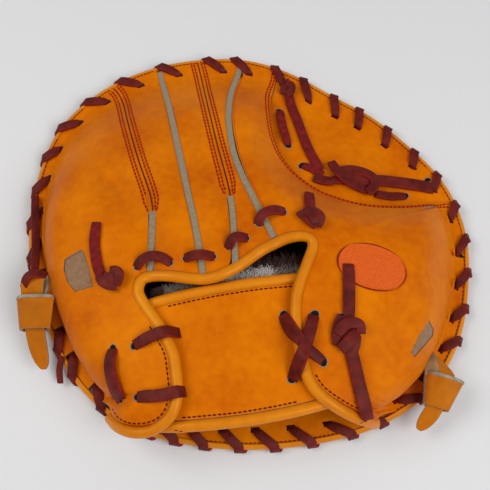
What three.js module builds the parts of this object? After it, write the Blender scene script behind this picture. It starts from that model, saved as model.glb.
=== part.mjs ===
// A baseball training glove of the flat "pancake" kind, lying palm down with the fingers towards +Y.
// A dished palm and a set of back panels are whipped together round the rim with flat leather lace.
// The heel side (-Y) is open: the hand goes in there, under the wrist strap.
// Millimetres, +Z up. The design frame has its origin under the middle of the glove, on the table.
import * as THREE from 'three';

// Leather, lace and clearances
const backLeather = 2.2;
const palmLeather = 2.5;
const clearance = 0.3;
const laceWidth = 5.2;
const laceThickness = 2.1;
const laceHole = { wide: 4.8, deep: 3.0 };

// Heights of the stack at the rim: the lace runs on the table, then palm, then back panel
const palmFloor = laceThickness + clearance;
const palmFlangeTop = palmFloor + palmLeather;
const backFlangeTop = palmFlangeTop + clearance + backLeather;
const heelFlangeTop = backFlangeTop;

// Bindings: the flat band round the rim, and the rolled edges of the opening and the strap
const rimBand = 4.8;
const rimBandStops = 72;
const roll = { halfWide: 2.6, halfThick: 2.4, drop: 1.1 };
const rollSeat = roll.halfWide + clearance;
const panelInset = rimBand + clearance;

// Crown of the back along Y, how fast it falls off sideways, and the dish of the palm
const crownRows = [
  { y: -125, height: 43 },
  { y: -95, height: 47 },
  { y: -50, height: 50 },
  { y: -10, height: 50 },
  { y: 25, height: 44 },
  { y: 60, height: 34 },
  { y: 95, height: 24 },
  { y: 125, height: 19 },
];
const crownFall = 0.0011;
const palmDish = { rise: 6.5, flange: 15, run: 55 };
const webRise = { height: 9, flange: 14, run: 48 };
const strapDrop = 5.4;

// Outline by angle: its radius, the height of the edge, the flat flange inside it, the length over
// which the leather rises, how far it bulges out over the flange, and how gently it rises (0 to 1)
const outlineRows = [
  { angle: 0, outline: 125.5, edge: 0, flange: 11, rise: 26, bulge: 0, gentle: 0.4 },
  { angle: 15, outline: 119.8, edge: 0, flange: 12, rise: 30, bulge: 0, gentle: 0.6 },
  { angle: 30, outline: 111.0, edge: 0, flange: 13, rise: 34, bulge: 0, gentle: 1 },
  { angle: 45, outline: 106.5, edge: 0, flange: 14, rise: 38, bulge: 0, gentle: 1 },
  { angle: 60, outline: 104.0, edge: 0, flange: 14, rise: 40, bulge: 0, gentle: 1 },
  { angle: 75, outline: 109.0, edge: 0, flange: 14, rise: 40, bulge: 0, gentle: 1 },
  { angle: 90, outline: 116.0, edge: 0, flange: 13, rise: 40, bulge: 0, gentle: 0.9 },
  { angle: 105, outline: 120.8, edge: 0, flange: 13, rise: 40, bulge: 0, gentle: 0.8 },
  { angle: 120, outline: 126.7, edge: 0, flange: 13, rise: 38, bulge: 0, gentle: 0.7 },
  { angle: 135, outline: 132.0, edge: 0, flange: 12, rise: 34, bulge: 0, gentle: 0.6 },
  { angle: 150, outline: 134.7, edge: 0, flange: 11, rise: 28, bulge: 0, gentle: 0.4 },
  { angle: 165, outline: 131.3, edge: 0, flange: 10.5, rise: 22, bulge: 0, gentle: 0.2 },
  { angle: 180, outline: 128.8, edge: 0, flange: 10.5, rise: 18, bulge: 0, gentle: 0 },
  { angle: 195, outline: 127.3, edge: 0, flange: 10.5, rise: 17, bulge: 1, gentle: 0 },
  { angle: 210, outline: 127.2, edge: 0, flange: 10.5, rise: 16, bulge: 2, gentle: 0 },
  { angle: 222, outline: 129.2, edge: 0, flange: 10.5, rise: 16, bulge: 5, gentle: 0 },
  { angle: 230.8, outline: 129.8, edge: 0, flange: 10, rise: 17, bulge: 6, gentle: 0 },
  { angle: 233, outline: 130, edge: 7, flange: 9, rise: 17, bulge: 5, gentle: 0 },
  { angle: 237, outline: 132.6, edge: 14, flange: 3, rise: 19, bulge: 2, gentle: 0 },
  { angle: 241, outline: 134.6, edge: 20, flange: 0, rise: 20, bulge: 0, gentle: 0 },
  { angle: 246, outline: 132.6, edge: 24, flange: 0, rise: 20, bulge: 0, gentle: 0 },
  { angle: 251, outline: 128.5, edge: 29, flange: 0, rise: 16, bulge: 0, gentle: 0 },
  { angle: 256, outline: 126.0, edge: 34, flange: 0, rise: 12, bulge: 0, gentle: 0 },
  { angle: 270, outline: 124.0, edge: 36, flange: 0, rise: 10, bulge: 0, gentle: 0 },
  { angle: 285, outline: 122.5, edge: 35, flange: 0, rise: 12, bulge: 0, gentle: 0 },
  { angle: 291, outline: 122.0, edge: 29, flange: 0, rise: 16, bulge: 0, gentle: 0 },
  { angle: 296, outline: 126.0, edge: 20, flange: 0, rise: 19, bulge: 0, gentle: 0 },
  { angle: 300, outline: 129.6, edge: 12, flange: 2, rise: 18, bulge: 2, gentle: 0 },
  { angle: 304, outline: 131, edge: 6, flange: 9, rise: 17, bulge: 5, gentle: 0 },
  { angle: 306.5, outline: 131.8, edge: 0, flange: 10, rise: 17, bulge: 6, gentle: 0 },
  { angle: 315, outline: 134.0, edge: 0, flange: 10.5, rise: 18, bulge: 4, gentle: 0.1 },
  { angle: 330, outline: 132.6, edge: 0, flange: 10.5, rise: 22, bulge: 0, gentle: 0.3 },
  { angle: 345, outline: 128.0, edge: 0, flange: 10.5, rise: 24, bulge: 0, gentle: 0.4 },
];
// The rim itself, where it runs on under the free edges of the heel side
const rimRows = [
  { angle: 230.8, radius: 129.8 },
  { angle: 240, radius: 129.0 },
  { angle: 255, radius: 124.5 },
  { angle: 270, radius: 122.8 },
  { angle: 285, radius: 124.4 },
  { angle: 300, radius: 129.6 },
  { angle: 306.5, radius: 131.8 },
];

// Distance of the lace holes from the rim, by angle
const holeRows = [
  { angle: 0, inset: 7.4 },
  { angle: 25, inset: 10 },
  { angle: 60, inset: 12.5 },
  { angle: 90, inset: 10.5 },
  { angle: 130, inset: 10 },
  { angle: 160, inset: 7.8 },
  { angle: 180, inset: 7.4 },
  { angle: 245, inset: 7.4 },
  { angle: 275, inset: 10 },
  { angle: 300, inset: 8 },
  { angle: 330, inset: 7.4 },
];
// Three lengths of lace whip the rim, each given by the angles of its holes
const rimLaces = [
  { name: 'rim_lace_fingers', holes: [77.7, 90.3, 98.9, 113.1, 125.1, 136.1, 145.9, 155.4, 164.5,
    174.2, 183.5] },
  { name: 'rim_lace_heel', holes: [192.3, 201, 209.5, 217.1, 227.3, 234, 240.4, 246.6, 254.1, 262.7, 271.2,
    280.8, 290.4, 298, 308.8] },
  { name: 'rim_lace_thumb', holes: [317.6, 326.4, 334.9, 343.9, 353.3, 3.4, 13.4, 22.7, 34.1,
    45.8, 55.2, 67.1] },
];
const whipSlant = 4.4;
const whipWrap = 1.6;
const whipChamfer = 1.1;
const whipDrop = 1.8;
const whipLean = 0.3;
const holePlay = 0.35;
// Share of a lace's thickness set off sideways where it bends by an eighth of a turn
const mitre = 0.41;

// Seams between the back panels, from the rim to the opening, with the gap that the welt fills
const seamRows = {
  little_ring: [
    { x: -86.5, y: 97, gap: 0.8 },
    { x: -80, y: 88, gap: 0.8 },
    { x: -71.5, y: 60, gap: 0.8 },
    { x: -62.5, y: 31, gap: 0.8 },
    { x: -53.5, y: 4, gap: 1.6 },
    { x: -52, y: -15, gap: 2.6 },
    { x: -52, y: -34, gap: 2.6 },
  ],
  ring_middle: [
    { x: -57.5, y: 110, gap: 2.8 },
    { x: -55, y: 100, gap: 2.8 },
    { x: -47.5, y: 70, gap: 2.8 },
    { x: -41.5, y: 42, gap: 2.8 },
    { x: -35, y: 13, gap: 2.8 },
    { x: -29, y: -13, gap: 2.8 },
    { x: -25, y: -36, gap: 2.8 },
  ],
  middle_index: [
    { x: -33.5, y: 115, gap: 0.8 },
    { x: -30.5, y: 103, gap: 0.8 },
    { x: -25, y: 73, gap: 0.8 },
    { x: -18.5, y: 41, gap: 0.8 },
    { x: -12, y: 12, gap: 1.8 },
    { x: -9.5, y: -6, gap: 2.6 },
    { x: -8, y: -31, gap: 2.6 },
  ],
  index_thumb: [
    { x: -5.4, y: 115.5, gap: 2.6 },
    { x: -6.9, y: 107, gap: 2.6 },
    { x: -11, y: 90, gap: 2.6 },
    { x: -12.5, y: 70, gap: 2.6 },
    { x: -12, y: 54, gap: 2.6 },
    { x: -9, y: 34, gap: 2.6 },
    { x: -4, y: 18, gap: 2.6 },
    { x: 2.5, y: 2, gap: 2.6 },
    { x: 12, y: -19.5, gap: 2.6 },
  ],
};
const valley = { depth: 3, halfWidth: 7 };

// Edge of the thumb panel where it is sewn down over the web, from the top rim to the right rim
const webSeamRows = [
  { x: 17.5, y: 108 },
  { x: 16.5, y: 100 },
  { x: 13, y: 87 },
  { x: 13, y: 69.5 },
  { x: 15, y: 53 },
  { x: 20, y: 38 },
  { x: 28.5, y: 27 },
  { x: 39.5, y: 19 },
  { x: 53.5, y: 13 },
  { x: 67.5, y: 10 },
  { x: 84.5, y: 11 },
  { x: 98.5, y: 13.5 },
  { x: 116, y: 18 },
];
const webSeam = { step: 2.8, rise: 30, tuck: 7 };

// Middle line of the rolled edge that runs from the left lobe round the opening to the right lobe
const openingRows = [
  { x: -73.5, y: -107 },
  { x: -68.5, y: -113 },
  { x: -62, y: -116.4 },
  { x: -55.5, y: -117.4 },
  { x: -49, y: -116.8 },
  { x: -43, y: -114.3 },
  { x: -38.7, y: -109.8 },
  { x: -36.5, y: -103.5 },
  { x: -36.1, y: -97 },
  { x: -37.2, y: -88.3 },
  { x: -38.9, y: -79.3 },
  { x: -43, y: -71.3 },
  { x: -48.3, y: -62.8 },
  { x: -53.7, y: -55.5 },
  { x: -57.6, y: -48 },
  { x: -56, y: -41.5 },
  { x: -51, y: -39.6 },
  { x: -43, y: -40 },
  { x: -32.5, y: -41.5 },
  { x: -21, y: -41.7 },
  { x: -13.5, y: -39.3 },
  { x: -5, y: -34.2 },
  { x: 2.5, y: -29 },
  { x: 11.5, y: -23 },
  { x: 19, y: -19.6 },
  { x: 25.5, y: -18.6 },
  { x: 31, y: -19.8 },
  { x: 32.4, y: -24 },
  { x: 29.6, y: -32.3 },
  { x: 24, y: -47.4 },
  { x: 22.5, y: -58.4 },
  { x: 23.2, y: -69.5 },
  { x: 24.5, y: -78.8 },
  { x: 27, y: -90 },
  { x: 32, y: -98.6 },
  { x: 40.5, y: -105 },
  { x: 50, y: -109.6 },
  { x: 58, y: -111.2 },
  { x: 66, y: -110.2 },
];
const strapTopRows = [
  { x: -60, y: -55.5 },
  { x: -43.5, y: -51.1 },
  { x: -31.7, y: -48.6 },
  { x: -17.1, y: -45.8 },
  { x: -8.3, y: -44.4 },
  { x: 3.6, y: -42.6 },
  { x: 25.4, y: -40.3 },
  { x: 36, y: -39.5 },
];
const strapBottomRows = [
  { x: -56, y: -113.5 },
  { x: -45, y: -114.4 },
  { x: -32.5, y: -114.4 },
  { x: -20.3, y: -113.5 },
  { x: -5.6, y: -112.1 },
  { x: 9, y: -109.8 },
  { x: 23.5, y: -106.9 },
  { x: 36, y: -103.6 },
  { x: 46, y: -100.5 },
];

// Soft folds pressed into the back leather
const foldRows = [
  { x1: -98, y1: 52, x2: -72, y2: 12, halfWidth: 9, depth: 2.2 },
  { x1: -34, y1: 48, x2: -22, y2: 6, halfWidth: 8, depth: 2 },
  { x1: 108, y1: -36, x2: 95, y2: -62, halfWidth: 8, depth: 3 },
  { x1: 60, y1: -78, x2: 78, y2: -96, halfWidth: 9, depth: 2.5 },
  { x1: -84, y1: -52, x2: -66, y2: -78, halfWidth: 10, depth: 1.6 },
];

const orangeLeather = { color: 0xd9770f, roughness: 0.5 };
const rolledLeather = { color: 0xe08a1c, roughness: 0.42 };
const burgundyLace = { color: 0x5e1a1e, roughness: 0.55 };
const cutRedLace = { color: 0x7a2222, roughness: 0.7 };
const greyFelt = { color: 0x9c8e7a, roughness: 0.95 };
const suede = { color: 0xb98a5a, roughness: 0.95 };
const stitchedBadge = { color: 0xe8601c, roughness: 0.8 };
const fur = { color: 0xcfc6ba, roughness: 1 };

const radians = THREE.MathUtils.degToRad;
const degrees = THREE.MathUtils.radToDeg;
const clamp = THREE.MathUtils.clamp;
const lerp = THREE.MathUtils.lerp;

// A value that runs smoothly through table rows, or once round a circle of 360 degrees
function smoothTable(rows, key, column, period = 0) {
  const at = (i) => {
    if (!period) return rows[clamp(i, 0, rows.length - 1)];
    const turns = Math.floor(i / rows.length);
    const row = rows[i - turns * rows.length];
    return { ...row, [key]: row[key] + turns * period };
  };
  return (value) => {
    const v = period ? THREE.MathUtils.euclideanModulo(value, period) : value;
    const i = rows.findLastIndex((row) => row[key] <= v);
    const [a, b, c, d] = [at(i - 1), at(i), at(i + 1), at(i + 2)];
    const span = c[key] - b[key];
    if (!span) return b[column];
    const t = (v - b[key]) / span;
    const slopeB = ((c[column] - a[column]) / (c[key] - a[key] || span)) * span;
    const slopeC = ((d[column] - b[column]) / (d[key] - b[key] || span)) * span;
    return b[column] * (2 * t ** 3 - 3 * t ** 2 + 1) + slopeB * (t ** 3 - 2 * t ** 2 + t)
      + c[column] * (3 * t ** 2 - 2 * t ** 3) + slopeC * (t ** 3 - t ** 2);
  };
}

const byAngle = (column) => smoothTable(outlineRows, 'angle', column, 360);
const outline = byAngle('outline');
const edgeRise = byAngle('edge');
const flange = byAngle('flange');
const riseRun = byAngle('rise');
const bulge = byAngle('bulge');
const gentle = byAngle('gentle');
const heelRim = smoothTable(rimRows, 'angle', 'radius');
const holeInset = smoothTable(holeRows, 'angle', 'inset', 360);
const crownHeight = smoothTable(crownRows, 'y', 'height');

function rimRadius(angle) {
  const a = THREE.MathUtils.euclideanModulo(angle, 360);
  const heel = a >= rimRows[0].angle && a <= rimRows.at(-1).angle;
  return heel ? heelRim(a) : outline(a);
}

function polar(angle, radius, z = 0) {
  return new THREE.Vector3(radius * Math.cos(radians(angle)), radius * Math.sin(radians(angle)), z);
}

function angleOf(x, y) {
  return THREE.MathUtils.euclideanModulo(degrees(Math.atan2(y, x)), 360);
}

// A smooth plan curve through rows of x and y, sampled by the share of its length
function course(rows) {
  const points = rows.map((row) => new THREE.Vector3(row.x, row.y, 0));
  const curve = new THREE.CatmullRomCurve3(points, false, 'centripetal');
  curve.arcLengthDivisions = 400;
  return curve;
}

const seams = Object.fromEntries(Object.entries(seamRows).map(([name, rows]) => [name, course(rows)]));
const webEdge = course(webSeamRows);
const openingLine = course(openingRows);
const strapTop = course(strapTopRows);
const strapBottom = course(strapBottomRows);

function distanceToSegment(x, y, x1, y1, x2, y2) {
  const length2 = (x2 - x1) ** 2 + (y2 - y1) ** 2;
  const t = clamp(((x - x1) * (x2 - x1) + (y - y1) * (y2 - y1)) / length2, 0, 1);
  return Math.hypot(x - lerp(x1, x2, t), y - lerp(y1, y2, t));
}

function distanceToRows(x, y, rows) {
  let best = Infinity;
  for (let i = 1; i < rows.length; i += 1) {
    const [a, b] = [rows[i - 1], rows[i]];
    best = Math.min(best, distanceToSegment(x, y, a.x, a.y, b.x, b.y));
  }
  return best;
}

const dent = (distance, depth, halfWidth) => depth * Math.exp(-((distance / halfWidth) ** 2));

// Height of the back before the rim pulls it down: a crown with valleys at the seams and soft folds
function crown(x, y) {
  let height = crownHeight(clamp(y, crownRows[0].y, crownRows.at(-1).y)) - crownFall * x * x;
  for (const rows of Object.values(seamRows)) {
    height -= dent(distanceToRows(x, y, rows), valley.depth, valley.halfWidth);
  }
  for (const fold of foldRows) {
    const distance = distanceToSegment(x, y, fold.x1, fold.y1, fold.x2, fold.y2);
    height -= dent(distance, fold.depth, fold.halfWidth);
  }
  return height;
}

// Share of a rise that starts steeply like a quarter round, or gently like an S
function climb(share, softness) {
  const s = clamp(share, 0, 1);
  const round = Math.sqrt(1 - (1 - s) ** 2);
  return lerp(round, s * s * (3 - 2 * s), softness);
}

function webHeight(x, y) {
  const inside = rimRadius(angleOf(x, y)) - Math.hypot(x, y) - webRise.flange;
  return backFlangeTop + webRise.height * climb(inside / webRise.run, 1);
}

// Point of the back's outer face above a plan point
function backPoint(x, y) {
  const angle = angleOf(x, y);
  const inside = outline(angle) - Math.hypot(x, y) - flange(angle);
  const share = clamp(inside / riseRun(angle), 0, 1);
  const edge = backFlangeTop + Math.max(0, edgeRise(angle));
  let z = edge + (crown(x, y) - edge) * climb(share, gentle(angle));
  if (x > -20 && y > -20) {
    const seamHeight = webHeight(x, y) + webSeam.step;
    const away = distanceToRows(x, y, webSeamRows) / webSeam.rise;
    z = Math.min(z, lerp(seamHeight, crown(x, y), climb(away, 0.3)));
  }
  const out = inside > 0 ? bulge(angle) * Math.sin(2 * Math.acos(1 - share)) : 0;
  return new THREE.Vector3(x, y, z).add(polar(angle, out));
}

function webPoint(x, y) {
  return new THREE.Vector3(x, y, webHeight(x, y));
}

function strapPoint(x, y) {
  return new THREE.Vector3(x, y, backPoint(x, y).z - strapDrop);
}

function palmPoint(x, y) {
  const inside = rimRadius(angleOf(x, y)) - Math.hypot(x, y) - palmDish.flange;
  const lifted = palmDish.rise * climb(inside / palmDish.run, 1);
  return new THREE.Vector3(x, y, palmFloor + lifted);
}

// Closed bodies from corner lists: faces are turned so that they point out
function body(vertices, faces) {
  const index = [];
  for (const face of faces) {
    for (let i = 2; i < face.length; i += 1) index.push(face[0], face[i - 1], face[i]);
  }
  let volume = 0;
  for (let i = 0; i < index.length; i += 3) {
    const [a, b, c] = [0, 1, 2].map((k) => vertices[index[i + k]]);
    volume += a.dot(b.clone().cross(c));
  }
  if (volume < 0) index.reverse();
  const geometry = new THREE.BufferGeometry();
  const positions = vertices.flatMap((v) => v.toArray());
  geometry.setAttribute('position', new THREE.Float32BufferAttribute(positions, 3));
  geometry.setIndex(index);
  geometry.computeVertexNormals();
  return geometry;
}

// A leather shell below a grid of outer points, with square lace holes left out of chosen cells
function shell(top, thickness, { holes = [], below = null } = {}) {
  const rows = top.length;
  const columns = top[0].length;
  const open = new Set(holes.map(([i, j]) => i * columns + j));
  const cells = [];
  for (let i = 0; i + 1 < rows; i += 1) {
    for (let j = 0; j + 1 < columns; j += 1) {
      if (!open.has(i * columns + j)) cells.push([i, j]);
    }
  }
  const bottom = below ?? offsetGrid(top, thickness);
  const vertices = [...top.flat(), ...bottom.flat()];
  const at = (i, j) => i * columns + j;
  const under = (i, j) => rows * columns + at(i, j);
  const faces = [];
  for (const [i, j] of cells) {
    faces.push([at(i, j), at(i + 1, j), at(i + 1, j + 1), at(i, j + 1)]);
    faces.push([under(i, j), under(i, j + 1), under(i + 1, j + 1), under(i + 1, j)]);
  }
  const wall = (a, b) => faces.push([at(...a), at(...b), under(...b), under(...a)]);
  for (let i = 0; i + 1 < rows; i += 1) {
    wall([i + 1, 0], [i, 0]);
    wall([i, columns - 1], [i + 1, columns - 1]);
  }
  for (let j = 0; j + 1 < columns; j += 1) {
    wall([0, j], [0, j + 1]);
    wall([rows - 1, j + 1], [rows - 1, j]);
  }
  for (const [i, j] of holes) {
    wall([i, j], [i + 1, j]);
    wall([i + 1, j], [i + 1, j + 1]);
    wall([i + 1, j + 1], [i, j + 1]);
    wall([i, j + 1], [i, j]);
  }
  return body(vertices, faces);
}

// The inner face of a shell: each point moves in along the surface's normal, and at the grid's
// sides only within the plane of the side, so that neighbours keep their clearance
function offsetGrid(top, thickness) {
  const rows = top.length;
  const columns = top[0].length;
  const step = (i, j) => ({
    along: top[Math.min(i + 1, rows - 1)][j].clone().sub(top[Math.max(i - 1, 0)][j]),
    across: top[i][Math.min(j + 1, columns - 1)].clone().sub(top[i][Math.max(j - 1, 0)]),
  });
  const middle = step(Math.floor(rows / 2), Math.floor(columns / 2));
  const turn = Math.sign(middle.along.cross(middle.across).z);
  return top.map((line, i) => line.map((point, j) => {
    const { along, across } = step(i, j);
    const normal = along.clone().cross(across).normalize().multiplyScalar(turn);
    const sides = [];
    if (j === 0 || j === columns - 1) sides.push(along);
    if (i === 0 || i === rows - 1) sides.push(across);
    for (const side of sides) {
      const away = new THREE.Vector3(side.y, -side.x, 0).normalize();
      normal.addScaledVector(away, -normal.dot(away));
    }
    normal.normalize();
    return point.clone().addScaledVector(normal, -thickness);
  }));
}

// A bar swept through sections of equal corner count, closed into a ring or capped at its ends
function sweep(sections, ring = false) {
  const sides = sections[0].length;
  const faces = [];
  const last = ring ? sections.length : sections.length - 1;
  for (let i = 0; i < last; i += 1) {
    const next = (i + 1) % sections.length;
    for (let k = 0; k < sides; k += 1) {
      const l = (k + 1) % sides;
      faces.push([i * sides + k, i * sides + l, next * sides + l, next * sides + k]);
    }
  }
  if (!ring) {
    const cap = [...Array(sides).keys()];
    faces.push(cap.toReversed(), cap.map((k) => (sections.length - 1) * sides + k));
  }
  return body(sections.flat(), faces);
}

const glove = new THREE.Group();

function add(name, geometry, finish) {
  const material = new THREE.MeshStandardMaterial({ ...finish, metalness: 0 });
  const mesh = new THREE.Mesh(geometry, material);
  mesh.name = name;
  glove.add(mesh);
}

// Angular stops round a stretch of rim: two beside each lace hole, and more where the holes are far apart
const holeAngles = rimLaces.flatMap((lace) => lace.holes).sort((a, b) => a - b);

function rimStops(from, to, widest = 11) {
  const stops = [{ angle: from, hole: false }];
  const turned = [...holeAngles, ...holeAngles.map((angle) => angle + 360)];
  for (const angle of turned.filter((a) => a > from + 1.4 && a < to - 1.4)) {
    const half = degrees(laceHole.wide / 2 / (rimRadius(angle) - holeInset(angle)));
    stops.push({ angle: angle - half, hole: true }, { angle: angle + half, hole: false });
  }
  stops.push({ angle: to, hole: false });
  return stops.flatMap((stop, i) => {
    const next = stops[i + 1];
    if (!next || stop.hole || next.angle - stop.angle < widest) return [stop];
    return [stop, { angle: (stop.angle + next.angle) / 2, hole: false }];
  });
}

// Plan point at a distance inside the rim
const insideRim = (angle, inset) => polar(angle, rimRadius(angle) - inset);

// Insets of a panel's first rows: its edge, and the two sides of the lace holes
function holeBand(angle) {
  const inset = holeInset(angle);
  return [panelInset, inset - laceHole.deep / 2, inset + laceHole.deep / 2];
}

// Shares of the rise at which a panel has rows
const riseShares = [0, 0.08, 0.3, 0.65, 1];

// Rows of a panel beyond its flange: the rise, then even steps to the opening
const interiorRows = 3;

function columnSteps(length, rise) {
  const rises = riseShares.slice(1).map((share) => (share * rise) / length);
  const last = rises.at(-1);
  const inner = [...Array(interiorRows).keys()].map((k) => lerp(last, 1, (k + 1) / interiorRows));
  return [...rises, ...inner];
}

const panelRows = 4 + riseShares.length - 1 + interiorRows;

// Plan point beside the opening's rolled edge, on the leather's side of it
function besideOpening(share, away = rollSeat) {
  return besideLine(openingLine, share, away);
}

function besideLine(line, share, away) {
  const point = line.getPointAt(share);
  const tangent = line.getTangentAt(share);
  return new THREE.Vector3(point.x - tangent.y * away, point.y + tangent.x * away, 0);
}

function nearestShare(curve, x, y, from = 0, to = 1) {
  let best = from;
  let bestDistance = Infinity;
  const steps = 1000;
  for (let k = 0; k <= steps; k += 1) {
    const share = lerp(from, to, k / steps);
    const here = curve.getPointAt(share);
    const distance = Math.hypot(here.x - x, here.y - y);
    if (distance < bestDistance) [best, bestDistance] = [share, distance];
  }
  return best;
}

const openingShare = (x, y, from, to) => nearestShare(openingLine, x, y, from, to);

function insideOf(point) {
  return rimRadius(angleOf(point.x, point.y)) - Math.hypot(point.x, point.y);
}

// Share of a curve where it lies a given distance inside the rim, looking from its rim end
function shareAtInset(curve, inset) {
  let share = 0;
  while (insideOf(curve.getPointAt(share)) < inset) share += 0.0005;
  return share;
}

// Stations of a seam: the rows that the panels on both sides and the welt all share
function seamStations(name) {
  const curve = seams[name];
  const rim = curve.getPointAt(shareAtInset(curve, panelInset));
  const angle = angleOf(rim.x, rim.y);
  const flangeEnd = shareAtInset(curve, flangeInset(angle));
  const length = curve.getLength() * (1 - flangeEnd);
  const flat = holeBand(angle).map((inset) => shareAtInset(curve, inset));
  const rest = columnSteps(length, riseRun(angle)).map((step) => lerp(flangeEnd, 1, step));
  return [...flat, flangeEnd, ...rest];
}

function flangeInset(angle) {
  return Math.max(flange(angle), holeInset(angle) + laceHole.deep / 2 + 0.5);
}

function seamGap(name, share) {
  const rows = seamRows[name];
  const at = share * (rows.length - 1);
  const i = Math.min(Math.floor(at), rows.length - 2);
  return lerp(rows[i].gap, rows[i + 1].gap, at - i);
}

// One side of a seam: +1 towards the thumb, -1 towards the little finger
function seamColumn(name, side) {
  const curve = seams[name];
  const points = seamStations(name).map((share) => {
    return besideLine(curve, share, (side * seamGap(name, share)) / 2);
  });
  const end = points.at(-1);
  const heading = curve.getTangentAt(1);
  let [share, nearest] = [0, Infinity];
  for (let s = seamEnds.from; s < seamEnds.to; s += 0.0005) {
    const aside = Math.abs(besideOpening(s).sub(end).cross(heading).z);
    if (aside < nearest) [share, nearest] = [s, aside];
  }
  points[points.length - 1] = besideOpening(share);
  return { points, share };
}

// Stretch of the opening's edge in which all the seams end
const seamEnds = { from: openingShare(-57.6, -46, 0.2, 0.5), to: openingShare(22, -19, 0.4, 0.8) };

// Columns of a panel, from plan points on its edge to plan points beside the opening
function rimColumn(angle, inner) {
  const flat = [...holeBand(angle), flangeInset(angle)].map((inset) => insideRim(angle, inset));
  const start = flat.at(-1);
  const steps = columnSteps(start.distanceTo(inner), riseRun(angle));
  return [...flat, ...steps.map((step) => start.clone().lerp(inner, step))];
}

function freeColumn(outer, inner) {
  return [...Array(panelRows).keys()].map((k) => outer.clone().lerp(inner, k / (panelRows - 1)));
}

// Shares of the opening's edge that a panel's columns end at, kept so that the roll bends there too
const rollStations = new Set([0, 1]);

function openingPoint(share) {
  rollStations.add(share);
  return besideOpening(share);
}

function bend(columns, share, first, last) {
  const straight = [columns[0], columns.at(-1)];
  const target = [first ?? straight[0], last ?? straight[1]];
  return columns.map((column, i) => column.map((point, j) => {
    const u = share(i);
    if (j < 4) {
      if (i === 0) return target[0][j].clone();
      if (i === columns.length - 1) return target[1][j].clone();
      return point;
    }
    const moveFirst = target[0][j].clone().sub(straight[0][j]).multiplyScalar(1 - u);
    const moveLast = target[1][j].clone().sub(straight[1][j]).multiplyScalar(u);
    return point.clone().add(moveFirst).add(moveLast);
  }));
}

const lift = (columns, surface) => columns.map((column) => column.map((point) => surface(point.x, point.y)));
const holeCells = (stops) => stops.flatMap((stop, i) => (stop.hole ? [[i, 1]] : []));

// Panel of one finger between two seams: from the seam on its thumb side to the one beyond it
function fingerPanel(name, thumbSeam, littleSeam) {
  const right = seamColumn(thumbSeam, -1);
  const left = seamColumn(littleSeam, 1);
  const from = angleOf(right.points[0].x, right.points[0].y);
  const to = angleOf(left.points[0].x, left.points[0].y);
  const stops = rimStops(from, to, 3.8);
  const share = (i) => (stops[i].angle - from) / (to - from);
  const columns = stops.map((stop, i) => {
    return rimColumn(stop.angle, openingPoint(lerp(right.share, left.share, share(i))));
  });
  const plan = bend(columns, share, right.points, left.points);
  add(name, shell(lift(plan, backPoint), backLeather, { holes: holeCells(stops) }), orangeLeather);
}

fingerPanel('back_ring', 'ring_middle', 'little_ring');
fingerPanel('back_middle', 'middle_index', 'ring_middle');
fingerPanel('back_index', 'index_thumb', 'middle_index');

// Little-finger panel: from its seam round the left of the rim, then along the free end of the lobe
const littleGuides = [
  { angle: 150, x: -55.5, y: -41.2 },
  { angle: 163, x: -57.4, y: -44.8 },
  { angle: 176, x: -57.2, y: -49.5 },
  { angle: 192, x: -53.5, y: -55.8 },
  { angle: 208, x: -46.5, y: -65.6 },
  { angle: 220, x: -41, y: -75 },
  { angle: 230.8, x: -38, y: -84 },
];
const littleRaised = { angle: 233, x: -37.3, y: -87.5 };
const littleLobe = [
  { x: -73, y: -107.8, innerX: -36.8, innerY: -91 },
  { x: -67.5, y: -113.8, innerX: -36.1, innerY: -97 },
  { x: -60, y: -116.9, innerX: -36.4, innerY: -102.5 },
  { x: -53, y: -117.3, innerX: -37.4, innerY: -107 },
  { x: -47.5, y: -116.3, innerX: -39.6, innerY: -111.2 },
];

function guideShare(guides, angle, firstAngle, firstShare) {
  const rows = [{ angle: firstAngle, share: firstShare }, ...guides];
  const i = clamp(rows.findLastIndex((row) => row.angle <= angle), 0, rows.length - 2);
  const t = (angle - rows[i].angle) / (rows[i + 1].angle - rows[i].angle);
  return lerp(rows[i].share, rows[i + 1].share, t);
}

function littlePanel() {
  const seam = seamColumn('little_ring', -1);
  const from = angleOf(seam.points[0].x, seam.points[0].y);
  const guides = littleGuides.map(({ angle, x, y }) => ({ angle, share: openingShare(x, y, 0, 0.5) }));
  const stops = rimStops(from, littleGuides.at(-1).angle);
  const rim = stops.map(({ angle }) => {
    return rimColumn(angle, openingPoint(guideShare(guides, angle, from, seam.share)));
  });
  const lobe = littleLobe.map(({ x, y, innerX, innerY }) => {
    const outer = openingPoint(openingShare(x, y, 0, 0.2));
    return freeColumn(outer, openingPoint(openingShare(innerX, innerY, 0.1, 0.5)));
  });
  const raisedShare = openingShare(littleRaised.x, littleRaised.y, 0.1, 0.5);
  const raised = rimColumn(littleRaised.angle, openingPoint(raisedShare));
  const reach = (i) => clamp((stops[Math.min(i, stops.length - 1)].angle - from) / 40, 0, 1);
  const plan = bend([...rim, raised, ...lobe], reach, seam.points, null);
  add('back_little', shell(lift(plan, backPoint), backLeather, { holes: holeCells(stops) }), orangeLeather);
}

littlePanel();

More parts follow.
